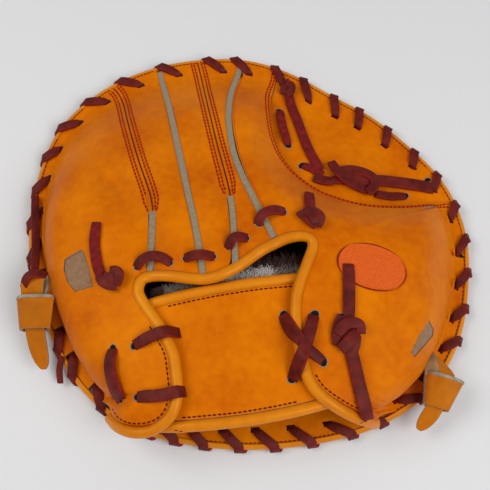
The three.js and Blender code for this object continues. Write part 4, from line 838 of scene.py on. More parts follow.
def stitches(name, lines, material, pitch, dash, width, sink=0.0, start=0.5):
    """Dashes of thread along plan lines, a pitch apart, all in mm."""
    bm = bmesh.new()
    count = 0
    for line in lines:
        walked = pitch * start
        for a, b in zip(line, line[1:]):
            length = (b - a).to_2d().length
            while walked <= length:
                place = a.lerp(b, walked / length)
                step = (b - a).to_2d().normalized() * dash / 2
                z_back = height(*(place.to_2d() - step))
                z_front = height(*(place.to_2d() + step))
                middle = at(place.x, place.y, (z_back + z_front) / 2 + STITCH_RISE - sink)
                if abs(z_front - z_back) < dash * 1.5:  # none over an edge of the leather
                    run = Vector((step.x * 2, step.y * 2, z_front - z_back))
                    turn = run.to_track_quat("X", "Z").to_matrix().to_4x4()
                    size = (dash / 2 * MM, width / 2 * MM, width * STITCH_HIGH * MM, 1)
                    matrix = Matrix.Translation(middle) @ turn @ Matrix.Diagonal(size)
                    bmesh.ops.create_icosphere(bm, subdivisions=1, radius=1.0, matrix=matrix)
                    count += 1
                walked += pitch
            walked -= length
    piece_from(name, mesh_of(bm, name), [material], [])
    print(name, count)


SEAMS = {  # plan lines, from the finger end to the heel
    "little_ring": [
        (-86.5, 97), (-80, 88), (-71.5, 60), (-62.5, 31), (-53.5, 4), (-52, -15), (-52, -34),
    ],
    "ring_middle": [
        (-57.5, 110), (-55, 100), (-47.5, 70), (-41.5, 42), (-35, 13), (-29, -13), (-25, -36),
    ],
    "middle_index": [
        (-33.5, 115), (-30.5, 103), (-25, 73), (-18.5, 41), (-12, 12), (-9.5, -6), (-8, -31),
    ],
    "index_thumb": [
        (-5.4, 115.5), (-6.9, 107), (-11, 90), (-12.5, 70), (-12, 54), (-9, 34), (-4, 18), (2.5, 2),
        (12, -19.5),
    ],
}
WEB_SEAM = [
    (17.5, 108), (16.5, 100), (13, 87), (13, 69.5), (15, 53), (20, 38), (28.5, 27), (39.5, 19),
    (53.5, 13), (67.5, 10), (84.5, 11), (98.5, 13.5), (116, 18),
]
OPENING = [
    (-73.5, -107), (-68.5, -113), (-62, -116.4), (-55.5, -117.4), (-49, -116.8), (-43, -114.3),
    (-38.7, -109.8), (-36.5, -103.5), (-36.1, -97), (-37.2, -88.3), (-38.9, -79.3), (-43, -71.3),
    (-48.3, -62.8), (-53.7, -55.5), (-57.6, -48), (-56, -41.5), (-51, -39.6), (-43, -40),
    (-32.5, -41.5), (-21, -41.7), (-13.5, -39.3), (-5, -34.2), (2.5, -29), (11.5, -23), (19, -19.6),
    (25.5, -18.6), (31, -19.8), (32.4, -24), (29.6, -32.3), (24, -47.4), (22.5, -58.4),
    (23.2, -69.5), (24.5, -78.8), (27, -90), (32, -98.6), (40.5, -105), (50, -109.6), (58, -111.2),
    (66, -110.2),
]
STRAP_TOP = [
    (-43.5, -51.1), (-31.7, -48.6), (-17.1, -45.8), (-8.3, -44.4), (3.6, -42.6), (25.4, -40.3),
]
STRAP_BOTTOM = [
    (-45, -114.4), (-32.5, -114.4), (-20.3, -113.5), (-5.6, -112.1), (9, -109.8), (23.5, -106.9),
]
FROM_ROLL = 4.1  # rows beside a roll run this far from its middle
RIM_ROWS = [(-53, 231), (252, 298)]  # angles between which the rim has a row of stitches
LEFT_LOBE_Y, RIGHT_LOBE_Y = -62, -92  # the lobes' rows lie heelwards of these
STRAP_ROW_X = -38  # where the strap's lower row comes out from under the left lobe

rim_rows = [[inside_rim(angle, BAND + 0.35) for angle in range(*arc)] for arc in RIM_ROWS]
opening_line = smooth_line(OPENING, 2)
beside_roll = beside(opening_line, FROM_ROLL)
left_end = next(k for k, p in enumerate(opening_line) if p.y > LEFT_LOBE_Y)
right_start = max(k for k, p in enumerate(opening_line) if p.y > RIGHT_LOBE_Y and p.x > 0)
lower_row = beside(smooth_line(STRAP_BOTTOM, 2), FROM_ROLL)
roll_rows = [
    beside_roll[:left_end], beside_roll[right_start:],
    beside(smooth_line(STRAP_TOP, 2), -FROM_ROLL)[:-1], [p for p in lower_row if p.x > STRAP_ROW_X],
]
stitches("rim_stitches", rim_rows, dark_thread, pitch=2.3, dash=2.2, width=0.6)
stitches("roll_stitches", roll_rows, dark_thread, pitch=2.5, dash=2.3, width=0.95)

# Lower ends of the two sewn finger seams, above their felt
SEWN = {"little_ring": -3.5, "middle_index": 6.5}
SEAM_ROWS = (-4.1, -2.4, 2.3, 4.0)  # distances of the rows from the middle of a sewn seam
WEB_ROWS = (-1.4, -3.2)
END_CURVES = [  # two short curved rows round each lower end
    [(-3.2, 0.6, 0), (0, -0.8, 0), (3.2, 0.8, 0)], [(-2.6, -0.6, 0), (0, -1.8, 0), (2.6, -0.6, 0)],
]
sewn_rows = []
for name, end_y in SEWN.items():
    line = [p for p in smooth_line(SEAMS[name], 2) if p.y > end_y and drawn(at(*p))[2] > BAND]
    draw_in = [0.35 * max(0.0, 1 - k / 3) for k in range(len(line))][::-1]
    for away in SEAM_ROWS:
        row = zip(beside(line, away), line, draw_in)
        sewn_rows.append([p + (middle - p) * share for p, middle, share in row])
    sewn_rows += [[line[-1] + Vector(step) for step in curve] for curve in END_CURVES]
web_line = [p for p in smooth_line(WEB_SEAM, 2) if drawn(at(*p))[2] > BAND]
sewn_rows += [beside(web_line, away) for away in WEB_ROWS]
# Darker dashes, half a pitch off the bright thread: thread with painted shade of its holes.
stitches("seam_stitches", sewn_rows, thread_with_hole_shade, pitch=2.5, dash=2.0, width=1.15)
bright_thread = fibrous("waxed_thread_bright", "#d2480c", "#b43406", 0.4, 0.3, 0.0, 1.2)
stitches(
    "seam_thread", sewn_rows, bright_thread, pitch=2.5, dash=2.6, width=0.8, sink=0.05, start=0
)
index_line = smooth_line(SEAMS["index_thumb"], 2)
index_line = [p for p in index_line if drawn(at(*p))[2] > 6 and p.y > -8]
index_row = beside(index_line, 3.1)
stitches("index_stitches", [index_row], bright_thread, pitch=1.8, dash=1.5, width=0.55)

# %% [markdown]
# ## Seams and welts
# Two of the finger seams are sewn shut at the top, and show a fine dark line. A tape of leather
# behind them keeps the light out. Lower down, and in the other two, a strip of grey felt stands
# in the gap a little proud of the leather.

# %% Seam tapes and felt
BESIDE_SEAM = 3.6  # where the leather's height is taken, in mm from the middle of a seam


def in_seam(name, line, width, depth, thick, material, nodes, bevel=0.0, tail=0):
    """A strip that fills a seam, with its middle at a depth below the leather on both sides.

    It runs on level past its last point by some stations, under whatever lies over its end. Its
    width, depth and thickness are in mm.
    """
    stations = []
    for point, heading in zip(line, headings(line)):
        aside = Vector((-heading.y, heading.x, 0))
        left, right = point + aside * width / 2, point - aside * width / 2
        sides = [point + aside * BESIDE_SEAM, point - aside * BESIDE_SEAM]
        z_left, z_right = (height(p.x, p.y) - depth for p in sides)
        stations.append(((left.x, left.y, z_left), (right.x, right.y, z_right)))
    for _ in range(tail):
        step = Vector((*(line[-1] - line[-2]).xy, 0))
        stations.append([Vector(side) + step for side in stations[-1]])
    return strap_piece(name, [stations], thick, [material] * 3, nodes, levels=1, bevel=bevel)


fillings = []
for name, end_y in SEWN.items():
    line = [p for p in smooth_line(SEAMS[name], 4) if p.y > end_y - 4 and drawn(at(*p))[2] > 1]
    fillings += [
        in_seam(f"seam_tape_{name}", line, 7.0, 0.6, 0.8, orange_leather, []),
        in_seam(f"seam_line_{name}", line, 0.55, 0.05, 0.3, dark_thread, []),
    ]
# Felt of each seam: its solid, width, highest y at which it shows, and stations under the roll
WELTS = {
    "little_ring": ("welt_little", 3.0, -1.5, 1), "ring_middle": ("welt_ring", 3.4, 200, 2),
    "middle_index": ("welt_middle", 3.2, 8.5, 2), "index_thumb": ("welt_index", 3.4, 200, 0),
}
for name, (node, width, first_y, tail) in WELTS.items():
    line = [p for p in smooth_line(SEAMS[name], 3) if p.y < first_y]
    line = [p for p in line if drawn(at(*p))[2] > BAND + 0.4]
    # the felt ends where the roll rises ahead of it
    line = [p for p in line if height(p.x, p.y - 3.5) < height(p.x + 3, p.y) + 2]
    fillings.append(in_seam(
        f"{node}_felt", line, width, 0.65, 2.6, grey_felt, [node], bevel=0.5,
        tail=tail,
    ))
ground = tree_of([*leather.values(), *fillings])
print("seams filled:", len(fillings))

# %% [markdown]
# ## Laces over the back
# Ties bridge the ends of the finger seams, two short laces hold the left lobe and a cross the
# right one, and long ends run over the back and the web from their knots. Each is laid on its plan
# line, and a tie dives into a punched hole at both ends. The two loose ends are longer than 30 mm,
# and their lengths are printed.

# %% Ties and laces
STATION = 2.6  # mm between the stations of a lace
CUT_END = 0.88  # share of its width that a lace keeps at its cut ends
TIES = [
    [(-59.2, -35.4), (-55.8, -31.4), (-50.8, -29.8), (-45.3, -31), (-41, -33.6)],
    [(-34.2, -31), (-29.7, -30.2), (-24.2, -29.7), (-18.8, -30.2)],
    [(-11.8, -25.6), (-9.8, -21.4), (-6.2, -19.8), (-1.6, -20.2)],
    [(3.5, -12.4), (5.8, -7.2), (10.8, -4.9), (18.2, -4.9)],
]
# Plan rows of each lace; a third value lifts it off the leather, where it crosses others
LACES = {
    "lobe_tie_upper": [(-58.2, -75.6), (-47.9, -71.3), (-36, -68.7)],
    "lobe_tie_lower": [(-55.6, -100.9), (-44.7, -100.8), (-32.5, -98.4)],
    "lobe_lace": [(-69.1, -76.8), (-70.4, -84.7), (-68.4, -94.2), (-64.6, -101.4)],
    "cross_lace_down": [(16.4, -60), (20.6, -70.3), (27.4, -77.9), (35.6, -84.2)],
    "cross_lace_up": [(31.6, -61), (28.1, -72.8), (24.3, -82.9), (20.4, -92.4)],
    "tail_lace_left": [(-81.8, -9.1), (-82, -20.9), (-79.6, -33), (-77.1, -40)],
    "tail_lace_right": [(50, -34.2), (49.8, -46.6), (49.1, -62.2)],
    "tail_end_right": [(49, -76.4, 0.4), (51.3, -87.1), (53.5, -98.2), (57.6, -111)],
    "tail_lace_middle": [(31.8, 9.5), (31.7, 2), (31.4, -7, 0.4)],
    "web_lace_short": [(18.3, 77.8), (19.6, 65.5), (22.7, 51.3)],
    "web_lace_down": [(23.2, 96, 1.0), (24.9, 83.9), (28.8, 70.1), (34.8, 48.8), (41, 34.8)],
    "web_lace_across": [
        (68, 26.8, 1.8), (76, 28.8, 1.4), (88, 28.8, 0.8), (100, 27.7, 0.4), (108.6, 26.2, 0.2),
    ],
    "web_end_left": [(30.6, 38), (36.9, 35.1), (42.4, 31.4, 0.5)],
    "web_end_right": [(72.8, 19.9, 0.6), (81.7, 19.2), (91.3, 20.8)],
}
# How far each lace's two ends dive into the leather, and how far it arches up in between
DIVES = {
    "lobe_tie_upper": (2.2, 2.2, 0.5), "lobe_tie_lower": (2.2, 2.2, 0.5),
    "lobe_lace": (2.6, 2.6, 0.9), "cross_lace_down": (2.2, 2.2, 0),
    "cross_lace_up": (2.2, 2.2, 1.6), "web_lace_short": (2.2, 2.2, 0.6),
    "web_end_left": (1.8, 0, 0), "web_end_right": (0, 1.8, 0), "web_lace_across": (0, 1.4, 0),
}
WIDTHS = {
    "lobe_tie_upper": 6.2, "lobe_tie_lower": 6.2, "web_lace_across": 7.2, "web_lace_down": 5.8,
    "tail_lace_left": 5.6, "tail_lace_right": 6.2, "tail_end_right": 6.8, "cross_lace_up": 6.2,
    "cross_lace_down": 5.4, "lobe_lace": 5.6, "tail_lace_middle": 5.6,
}
# These lie with the fuzzy red flesh side of the hide up
FLESH_UP = (
    "tail_lace_left", "tail_lace_middle", "web_lace_down", "web_end_left", "web_lace_short",
)


def lace(name, rows, nodes, dive=(0, 0, 0), width=LACE_WIDE, flesh=False, **bearing):
    """One lace laid along plan rows, and its middle line; bearing is passed on to resting()."""
    line = smooth_line(rows, STATION)
    stations = resting(line, width, arch=dive[2], sink=dive[:2], ends=CUT_END, **bearing)
    finish = [flesh_lace, flesh_lace, cut_lace] if flesh else LACE_FINISH
    piece = strap_piece(
        f"{name}_lace", [stations], LACE_THICK, finish, nodes, levels=1
    )
    return piece, [(at(*left) + at(*right)) / 2 for left, right in stations]


for number, rows in enumerate(TIES, 1):
    name = f"top_tie_{number}"
    lace(name, rows, [name], dive=(2.4, 2.4, 1.3), width=5.4, tilt=-0.9)
for name, rows in LACES.items():
    piece, path = lace(
        name, rows, [name], DIVES.get(name, (0, 0, 0)), WIDTHS.get(name, LACE_WIDE),
        name in FLESH_UP, tilt=1.2 if name == "lobe_lace" else 0.0,
    )
    if name in ("tail_lace_left", "tail_end_right"):
        path = path if name == "tail_end_right" else path[::-1]  # away from the knot
        length = sum((b - a).length for a, b in zip(path, path[1:]))
        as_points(path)
        print(name, "free length:", round(length / MM, 1), "mm")

# %% [markdown]
# ## Punched holes
# Each lace goes through a punched hole that shows at its end: a dark oval, painted shade for the
# depth of the hole, with a grey rim of cut leather. Two flat rounded discs, one in the other, make
# it.

# %% Punched holes
def tie_hole(end, before):
    """The hole at a tie's end, in line with its last stretch."""
    return (*end, math.degrees(math.atan2(end[1] - before[1], end[0] - before[0])), 1.7)


HOLES = [  # place, the lace's plan direction there and the half length of the hole
    *(tie_hole(rows[0], rows[1]) for rows in TIES),
    *(tie_hole(rows[-1], rows[-2]) for rows in TIES),
    (-58.8, -76, 205, 2.0), (-56.2, -100.9, 180, 2.0), (16.0, -59.2, 120, 2.0),
    (36.1, -84.7, -40, 2.2), (31.9, -60.2, 75, 2.2), (20.0, -93.2, -110, 1.8),
    (18.1, 78.4, 100, 1.8), (22.8, 50.6, -75, 1.8), (30.2, 38.3, 150, 2.2),
    (45.0, -61.1, 80, 1.9), (104.6, 32.4, 165, 1.5), (92, 21, 10, 2.0), (-69.0, -75.9, 80, 1.8),
    (-64.2, -102.2, -55, 1.8),
]
TUCK = 1.0  # how far a disc is tucked in under the lace, in mm
# The inner, dark disc is painted shade for the depth of the hole.
discs = {"hole_rims": (grey_felt, 0.4, 0.1), "hole_shade_discs": (painted_hole_shade, 0.0, 0.2)}
for name, (material, wider, rise) in discs.items():
    bm = bmesh.new()
    for x, y, turn, half in HOLES:
        spot = Vector((x, y, 0)) - polar(turn, TUCK)
        slope_x, slope_y = (
            (height(*(spot + step).xy) - height(*(spot - step).xy)) / 4
            for step in (Vector((2, 0, 0)), Vector((0, 2, 0)))
        )
        normal = Vector((-slope_x, -slope_y, 1)).normalized()
        face = normal.to_track_quat("Z", "Y").to_matrix().to_4x4()
        size = Matrix.Diagonal(((half + wider) * MM, (half * 1.3 + wider) * MM, 0.3 * MM, 1))
        matrix = Matrix.Translation(at(spot.x, spot.y, height(spot.x, spot.y) + rise)) @ face
        matrix = matrix @ Matrix.Rotation(math.radians(turn), 4, "Z") @ size
        bmesh.ops.create_icosphere(bm, subdivisions=2, radius=1.0, matrix=matrix)
    piece_from(name, mesh_of(bm, name), [material], [])
print("punched holes:", len(HOLES))

# %% [markdown]
# ## Knots
# A knot in flat lace is an overhand turn pulled tight, so the lace is seen to cross itself a few
# times. Each stretch of it that shows is a band of its own, laid along its own curve from the
# lowest to the topmost. A third value lifts a band over those below.

# %% Knots
KNOTS = {
    "knot_left": [
        [(-77.8, -39.8, 0.6), (-76.2, -43, 2.2), (-72.6, -45.2, 2.6), (-68.4, -45.6, 0.8)],
        [(-75.2, -40.4, 1.2), (-71.8, -41.2, 2.6), (-69, -42.8, 2.4)],
        [(-72, -37.6, 1.6), (-68.4, -38, 3.4), (-66.6, -40.8, 3.8), (-68.4, -45, 1.8)],
    ],
    "knot_right": [
        [(45.7, -61.4, 0.2), (42.9, -68.4, 0.5), (42.8, -76.4, 0.2)],
        [(52.4, -71, 0.4), (51.6, -75.6, 0.6), (50.2, -79.4, 0.2)],
        [(49.2, -61.6, 0.4), (48.9, -68.6, 0.9), (47.6, -74.4, 0.8)],
        [
            (42.7, -71.6, 1.4), (45.4, -67.2, 3.0), (50.2, -65.6, 3.9), (54.3, -66.6, 3.2),
            (54.4, -70.4, 1.4),
        ],
        [(52.4, -69.4, 1.4), (48.4, -74.6, 3.4), (43.8, -79, 2.0)],
    ],
    "knot_middle": [
        [(25.4, -5.8, 0.4), (28.6, -10, 2.4), (34, -14.6, 0.8)],
        [(27.6, -6, 1.8), (33, -6.2, 3.4), (36.8, -10.2, 3.0), (34.6, -14.4, 0.8)],
        [(30.4, -6.8, 2.6), (32.4, -10, 3.6), (33.6, -13.4, 1.6)],
    ],
    "knot_web_top": [
        [
            (20.6, 90.2, 0.5), (21, 94.4, 2.0), (23.6, 96.4, 2.8), (26.2, 94.2, 3.0),
            (25.8, 90.4, 2.6), (22.8, 88.6, 0.9),
        ],
        [(21.8, 98.4, 0.6), (23.4, 93.4, 1.6), (24.6, 88, 0.9)],
    ],
    "knot_web": [
        [(36.8, 29.4, 0.2), (42.3, 27.4, 0.6), (48.2, 26.8, 0.9)],
        [(47.6, 27.6, 0.9), (55.8, 28.4, 1.2), (62.6, 27.8, 1.6), (70, 27.4, 1.6)],
        [(50.6, 34.2, 0.5), (56.4, 32.6, 1.4), (63.6, 31, 2.0), (70, 28.6, 2.0)],
        [
            (53.6, 34.6, 0.6), (58, 35, 1.8), (63.4, 34, 2.8), (69.2, 31.6, 3.6),
            (72.6, 27.6, 4.2), (71.8, 22.6, 3.6), (67.8, 19.4, 3.0),
        ],
        [(47.2, 39, 3.0), (49.2, 35, 3.6), (54, 28.6, 3.6), (60.6, 24.2, 2.6), (68.6, 21.6, 0.6)],
    ],
}
KNOT_STATION, KNOT_END = 2.2, 0.9
KNOT_WIDTHS = {
    "knot_left": 5.0, "knot_right": 5.6, "knot_middle": 4.8, "knot_web_top": 4.2, "knot_web": 5.6,
}
for name, bands in KNOTS.items():
    width = KNOT_WIDTHS[name]
    strips = [resting(smooth_line(rows, KNOT_STATION), width, ends=KNOT_END) for rows in bands]
    strap_piece(f"{name}_turns", strips, LACE_THICK, LACE_FINISH, [name], levels=1)
print("knots:", len(KNOTS))

# %% [markdown]
# ## Side straps and their keepers
# A strap with a rounded tail lies over each side of the glove. The left one folds over at its top
# and shows the fibrous flesh side of the hide there. A conical keeper of the same leather holds
# each, and short ends of lace lie beside them.

# %% Straps and keepers
STRAP_THICK = 2.1
# Which way the grain faces at a strap's start, then its stations: the middle of the leather, its
# width, the plan angle of its width, and how much that side rises
SIDE_STRAPS = {
    "side_strap_left": (DOWN, [
        (-114.5, -44.8, 19.8, 11, 0, 0.9), (-114.5, -41, 20, 11, 0, 0.8),
        (-114.8, -37, 20.6, 11.5, 0, 0.5), (-115.6, -34.2, 22, 12, 0, 0.3),
        (-116.6, -33.4, 24.4, 12.5, 0, 0.15), (-117.6, -35.4, 26.2, 12.5, 0, 0.05),
        (-118, -39.5, 25.5, 12.2, 0, 0), (-117.8, -46, 22.3, 11.6, 0, 0),
        (-117, -57, 19.3, 10.4, 0, 0), (-115.6, -65, 16.8, 10.4, 0, 0), (-114.2, -71, 15, 10, 0, 0),
        (-112.8, -76, 13.4, 8.8, 0, 0), (-111.8, -79.4, 12.3, 6.4, 0, 0),
        (-111.2, -81.6, 11.6, 2.6, 0, 0),
    ]),
    "side_strap_right": (UP, [
        (100, -77.6, 17.5, 7, -40, -0.5), (102.6, -83, 20, 11, -28, -0.3),
        (101.6, -88.6, 20.4, 12, -16, -0.1), (99.2, -97, 17.8, 8.8, -24, 0),
        (96.6, -101.6, 16.6, 8.8, -30, 0), (94.2, -105.4, 15.6, 8.6, -34, 0),
        (91.4, -108.8, 14.4, 8.2, -38, 0), (88.8, -111.8, 13.2, 6.0, -38, 0),
        (87.4, -113.4, 12.6, 2.4, -38, 0),
    ]),
}
for name, (facing, rows) in SIDE_STRAPS.items():
    stations = []
    for x, y, z, width, turn, slope in rows:
        aside = (polar(turn, 1) + Vector((0, 0, slope))).normalized() * width / 2
        stations.append((Vector((x, y, z)) + aside, Vector((x, y, z)) - aside))
    strap_piece(
        f"{name}_leather", [stations], STRAP_THICK, [strap_leather, flesh_side, cut_leather],
        [name], bevel=0.4, facing=facing,
    )
for name in ("keeper_left", "keeper_right"):
    rounded(
        name, f"{name}_leather", strap_leather, cut=cut_leather, sharp=66,
        bevel=0.35, steep=1.1,
    )
# Top edge of each keeper: a place on it, its plan angle, and its outline across the strap
LIPS = {
    "keeper_left": (Vector((-115.4, -45.9, 20.9)), 0, [
        (-11.4, 0), (-8.4, 4.8), (-2, 6.6), (5, 6.8), (9.6, 5.2), (9, 2),
    ]),
    "keeper_right": (Vector((101.3, -88.6, 20.6)), -18, [
        (-9.8, 0.4), (-6, 3.8), (0, 4.7), (6, 4.2), (9.8, 1),
    ]),
}
for name, (place, turn, outline) in LIPS.items():
    stations = []
    for step in smooth_line(outline, 1.8):
        front = place + polar(turn, step.x, step.y)
        stations.append((front, front + polar(turn + 90, 1.7, -0.3)))
    strap_piece(
        f"{name}_lip", [stations], 1.1, [cut_leather] * 3, [], levels=1,
        bevel=0.2,
    )
flap = [
    ((92.6, -76, 16.8), (98, -73.6, 17.6)), ((91.4, -81, 20), (98.6, -78.4, 20.6)),
    ((91.2, -86.4, 21), (98.8, -84.4, 22.2)),
]
strap_piece(
    "side_flap_right", [flap], 1.6, [flesh_side, cut_leather, cut_leather], [],
    bevel=0.3,
)
SIDE_LACES = {  # stations' middles with their heights, and the width of the lace
    "side_lace_left": ([
        (-126, 20.9, 10.2), (-125.2, 13, 10.8), (-123.4, -2, 11.2), (-121.6, -16, 12.6),
        (-119.6, -29, 17.4),
    ], 4.4),
    "side_loop_left": ([
        (-122.4, -39.6, 24.6), (-120.6, -35.2, 28.4), (-116, -32.6, 28.8), (-110.6, -33.4, 25.6),
    ], 4.9),
    "side_end_left": ([(-102.6, -74, 9.5), (-104, -80.6, 7), (-103.4, -88, 4.5)], 3.2),
}
for name, (rows, width) in SIDE_LACES.items():
    nodes = [] if name == "side_loop_left" else [name]
    lace(name, rows, nodes, width=width, free=True, tilt=-1.4)
print("side straps:", len(SIDE_STRAPS), "keepers:", len(LIPS), "side laces:", len(SIDE_LACES))

# %% [markdown]
# ## Slots
# Each side strap passes behind the back panel and shows in a slot there: a recess with grey cut
# walls and tan suede at its bottom. The finished panel is cut along the sides of the slot with
# bisect_plane, and the faces inside are extruded down into the leather.

# %% Slots cut into the leather
SLOTS = {  # the panel, and the slot's corners on the drawing
    "slot_suede_left": ("back_little", [
        (-98.6, -33.4), (-98.4, -28.2), (-89.2, -23.7), (-87.3, -25.7), (-84, -34.6),
        (-81.3, -44.4), (-91.2, -46.3), (-96, -41),
    ]),
    "slot_suede_right": ("back_thumb", [
        (93.2, -59.6), (96.7, -63.5), (95.7, -67), (83.2, -79.8), (81.1, -77.9), (85.6, -69.6),
        (90.4, -63.6),
    ]),
}
SLOT_DEPTH = 1.3
SUEDE_RISE = 0.5  # height of the suede's face over the slot's floor, in mm


def within(place, corners):
    """Whether a plan point lies inside a polygon."""
    inside = False
    for (x1, y1), (x2, y2) in zip(corners, corners[1:] + corners[:1]):
        if (y1 > place.y) != (y2 > place.y):
            if place.x < x1 + (x2 - x1) * (place.y - y1) / (y2 - y1):
                inside = not inside
    return inside


def cut_slot(bm, corners):
    """Cuts a slot into a panel, and gives the numbers of the faces of its floor."""
    middle = sum((at(*corner) for corner in corners), Vector()) / len(corners)
    reach = max((at(*corner) - middle).length for corner in corners) * 1.5

    def outer_faces():
        faces = [f for f in bm.faces if f.normal.z > 0.2]
        return [f for f in faces if (f.calc_center_median() - middle).to_2d().length < reach]

    for (x1, y1), (x2, y2) in zip(corners, corners[1:] + corners[:1]):
        near = outer_faces()
        edges = {e for f in near for e in f.edges}
        points = {v for f in near for v in f.verts}
        normal = Vector((y2 - y1, x1 - x2, 0)).normalized()
        bmesh.ops.bisect_plane(
            bm, geom=[*near, *edges, *points], plane_co=at(x1, y1), plane_no=normal, dist=1e-7
        )
    patch = [f for f in outer_faces() if within(drawn(f.calc_center_median())[0], corners)]
    grown = bmesh.ops.extrude_face_region(bm, geom=patch)["geom"]
    bottom = [item for item in grown if isinstance(item, bmesh.types.BMFace)]
    for vertex in {v for f in bottom for v in f.verts}:
        vertex.co.z -= SLOT_DEPTH * MM
        for face in vertex.link_faces:
            face.material_index = 1
            face.smooth = False
    for face in bottom:
        face.smooth = True
    bmesh.ops.delete(bm, geom=[f for f in patch if f.is_valid], context="FACES")
    bm.faces.index_update()
    return {face.index for face in bottom}


for name, (panel, corners) in SLOTS.items():
    bm = bmesh.new()
    bm.from_mesh(leather[panel].data)
    bottom = cut_slot(bm, corners)
    suede_bm = bm.copy()
    bm.to_mesh(leather[panel].data)
    bm.free()
    walls = [f for f in suede_bm.faces if f.index not in bottom]
    bmesh.ops.delete(suede_bm, geom=walls, context="FACES")
    for vertex in suede_bm.verts:
        vertex.co.z += SUEDE_RISE * MM
    patch = mesh_of(suede_bm, f"{name}_patch")
    suede = piece_from(patch.name, patch, [tan_suede], [name])
    add_modifier(suede, "thickness", "SOLIDIFY", thickness=0.4 * MM, offset=-1.0)
    print(name, "patch faces:", len(patch.polygons))

# %% [markdown]
# ## The badge
# A plain oval badge is close-stitched on the thumb panel. It is a sheet with an oval outline,
# draped point by point on the leather, with a raised stitched border.

# %% Badge
BADGE_PLACE, BADGE_HALF, BADGE_TURN = Vector((62.5, -35, 0)), (18.5, 12.5), math.radians(-14)
BADGE_RISE, BORDER_RISE, BADGE_THICK = 0.75, 0.35, 0.9
SATIN_ROW = 1.0  # spacing of the embroidery's rows, in mm; real thread is finer than a pixel
SATIN_TURN = 62
ROW_SCALE = 314  # a wave texture's scale for rows 1 mm apart, 1000 * 2 pi / 20


def satin(name, light, deep):
    """Close rows of embroidery thread: each a low ridge, broken up where the thread changes."""
    material, shader = new_material(name)
    place = add_node(material, "TexCoord", {}).outputs["Object"]
    turned = add_node(
        material, "Mapping", {"Vector": place, "Rotation": (0, 0, math.radians(SATIN_TURN))}
    )
    rows = add_node(material, "TexWave", {
        "Vector": turned.outputs[0], "Scale": ROW_SCALE / SATIN_ROW, "Distortion": 2.0,
        "Detail Scale": 1.5,
    })
    breaks = add_node(
        material, "TexNoise", {"Vector": place, "Scale": 1000 / 1.4, "Detail": 3.0}
    )
    shade = add_node(
        material, "Math", {0: rows.outputs["Fac"], 1: breaks.outputs["Fac"]}, operation="MULTIPLY"
    )
    # The colour is deeper where the rows dip: painted shade in the grooves between them.
    mix = add_node(
        material, "Mix", {"Factor": shade.outputs[0], 6: colour(deep), 7: colour(light)},
        data_type="RGBA",
    )
    bump = add_node(
        material, "Bump", {"Height": shade.outputs[0], "Strength": 0.5, "Distance": 0.0003}
    )
    join_up(material, shader, {
        "Base Color": mix.outputs[2], "Normal": bump.outputs[0], "Roughness": 0.62,
        "Specular IOR Level": 0.2,
    })
    return material


satin_orange = satin("satin_stitch_orange", "#ff7a18", "#c84a0a")
satin_border = fibrous("satin_border_red", "#a82c0a", "#741806", 0.5, 0.6, 0.0, 1.0)
bm = bmesh.new()
bmesh.ops.create_grid(bm, x_segments=44, y_segments=32, size=1.0)
for vertex in bm.verts:
    u, v = vertex.co.x, vertex.co.y
    across = u * math.sqrt(1 - v * v / 2) * BADGE_HALF[0]
    along = v * math.sqrt(1 - u * u / 2) * BADGE_HALF[1]
    spot = BADGE_PLACE + Matrix.Rotation(BADGE_TURN, 3, "Z") @ Vector((across, along, 0))
    border = BORDER_RISE if 0.9 < max(abs(u), abs(v)) < 0.99 else 0.0
    vertex.co = at(spot.x, spot.y, height(spot.x, spot.y) + BADGE_RISE + border)
for face in bm.faces:
    face.material_index = int(any(edge.is_boundary for edge in face.edges))
mesh = mesh_of(bm, "badge_stitched")
badge = piece_from(mesh.name, mesh, [satin_orange, satin_border], ["badge"])
add_modifier(badge, "thickness", "SOLIDIFY", thickness=BADGE_THICK * MM, offset=-1.0)
print("badge:", len(mesh.polygons), "faces")

# %% [markdown]
# ## Lining and fur
# Inside, the hand rests on a brown pile pad. A second pad behind the strap shows its long fur past
# the strap's upper edge: grey all along, white in the middle and brown behind the white. Each tuft
# is a thin straight cone with its own lean, and a few thousand of them make the fur.

# %% Pads and fur
pad_trees = []
for name in ("wrist_lining", "palm_lining"):
    pad = rounded(name, f"{name}_pad", brown_pile, bevel=0)
    pad_trees.append(tree_of([pad]))
wrist_tree, palm_tree = pad_trees


def on_pad(tree, x, y):
    """A point just under a pad's surface."""
    hit = tree.ray_cast(at(x, y, SKY), DOWN)[0]
    return Vector((x, y, hit.z / MM - 0.3)) if hit else None


ROOT_RADIUS, TIP_RADIUS = 0.24, 0.03  # of a tuft, in mm


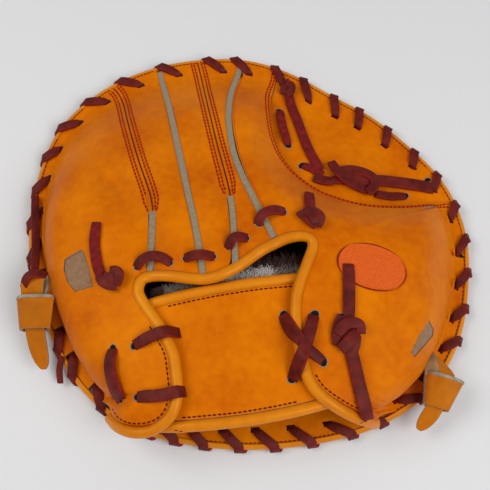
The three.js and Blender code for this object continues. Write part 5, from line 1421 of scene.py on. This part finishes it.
def fur(name, material, count, place_tuft, seed):
    """Tufts of fur: place_tuft gives each one's root and tip in mm from a random source."""
    source = random.Random(seed)
    bm = bmesh.new()
    for _ in range(count):
        tuft = place_tuft(source)
        if not tuft:
            continue
        root, tip = tuft
        lean = (tip - root) * MM
        turn = lean.to_track_quat("Z", "X").to_matrix().to_4x4()
        bmesh.ops.create_cone(
            bm, segments=3, radius1=ROOT_RADIUS * MM, radius2=TIP_RADIUS * MM, depth=lean.length,
            matrix=Matrix.Translation(at(*root) + lean / 2) @ turn, cap_ends=False,
        )
    piece_from(name, mesh_of(bm, name), [material], [])
    print(name, count)


fur_line = beside(smooth_line(STRAP_TOP, 1.0), 3.4)


def strap_tuft(first, last, low, high, least, most):
    """A tuft of least to most mm in length on the wrist pad.

    It stands between two shares of the strap's upper edge and two distances past it.
    """

    def place(source):
        share = source.uniform(first, last)
        spot = fur_line[round(share * (len(fur_line) - 1))]
        root = on_pad(wrist_tree, spot.x, spot.y + source.uniform(low, high))
        lean = Vector((source.gauss(0, 0.5), 1 + source.gauss(0, 0.4), source.uniform(0, 0.6)))
        return (root, root + lean.normalized() * source.uniform(least, most)) if root else None

    return place


def palm_tuft(source):
    root = on_pad(palm_tree, source.uniform(-52, 30), source.uniform(-48, -8))
    lean = Vector((source.gauss(0, 0.5), source.gauss(0.2, 0.5), source.uniform(0.4, 1.0)))
    return (root, root + lean.normalized() * source.uniform(4, 9)) if root else None


fur("strap_fur_white", white_fur, 1900, strap_tuft(0.38, 0.8, -3, 2.0, 3, 6), 3)
fur("strap_fur_grey", grey_fur, 900, strap_tuft(0.0, 1.0, -3, 2.5, 3, 6), 6)
fur("strap_fur_brown", brown_fur, 1900, strap_tuft(0.3, 1.0, 1.5, 14, 4, 9), 4)
fur("palm_fur_brown", brown_fur, 1600, palm_tuft, 5)

# %% [markdown]
# ## The paper
# The glove lies on pale matt paper.

paper, paper_shader = new_material("floor_paper")
join_up(paper, paper_shader, {"Base Color": colour("#dfdfdf"), "Roughness": 0.7})
floor.data.materials.append(paper)
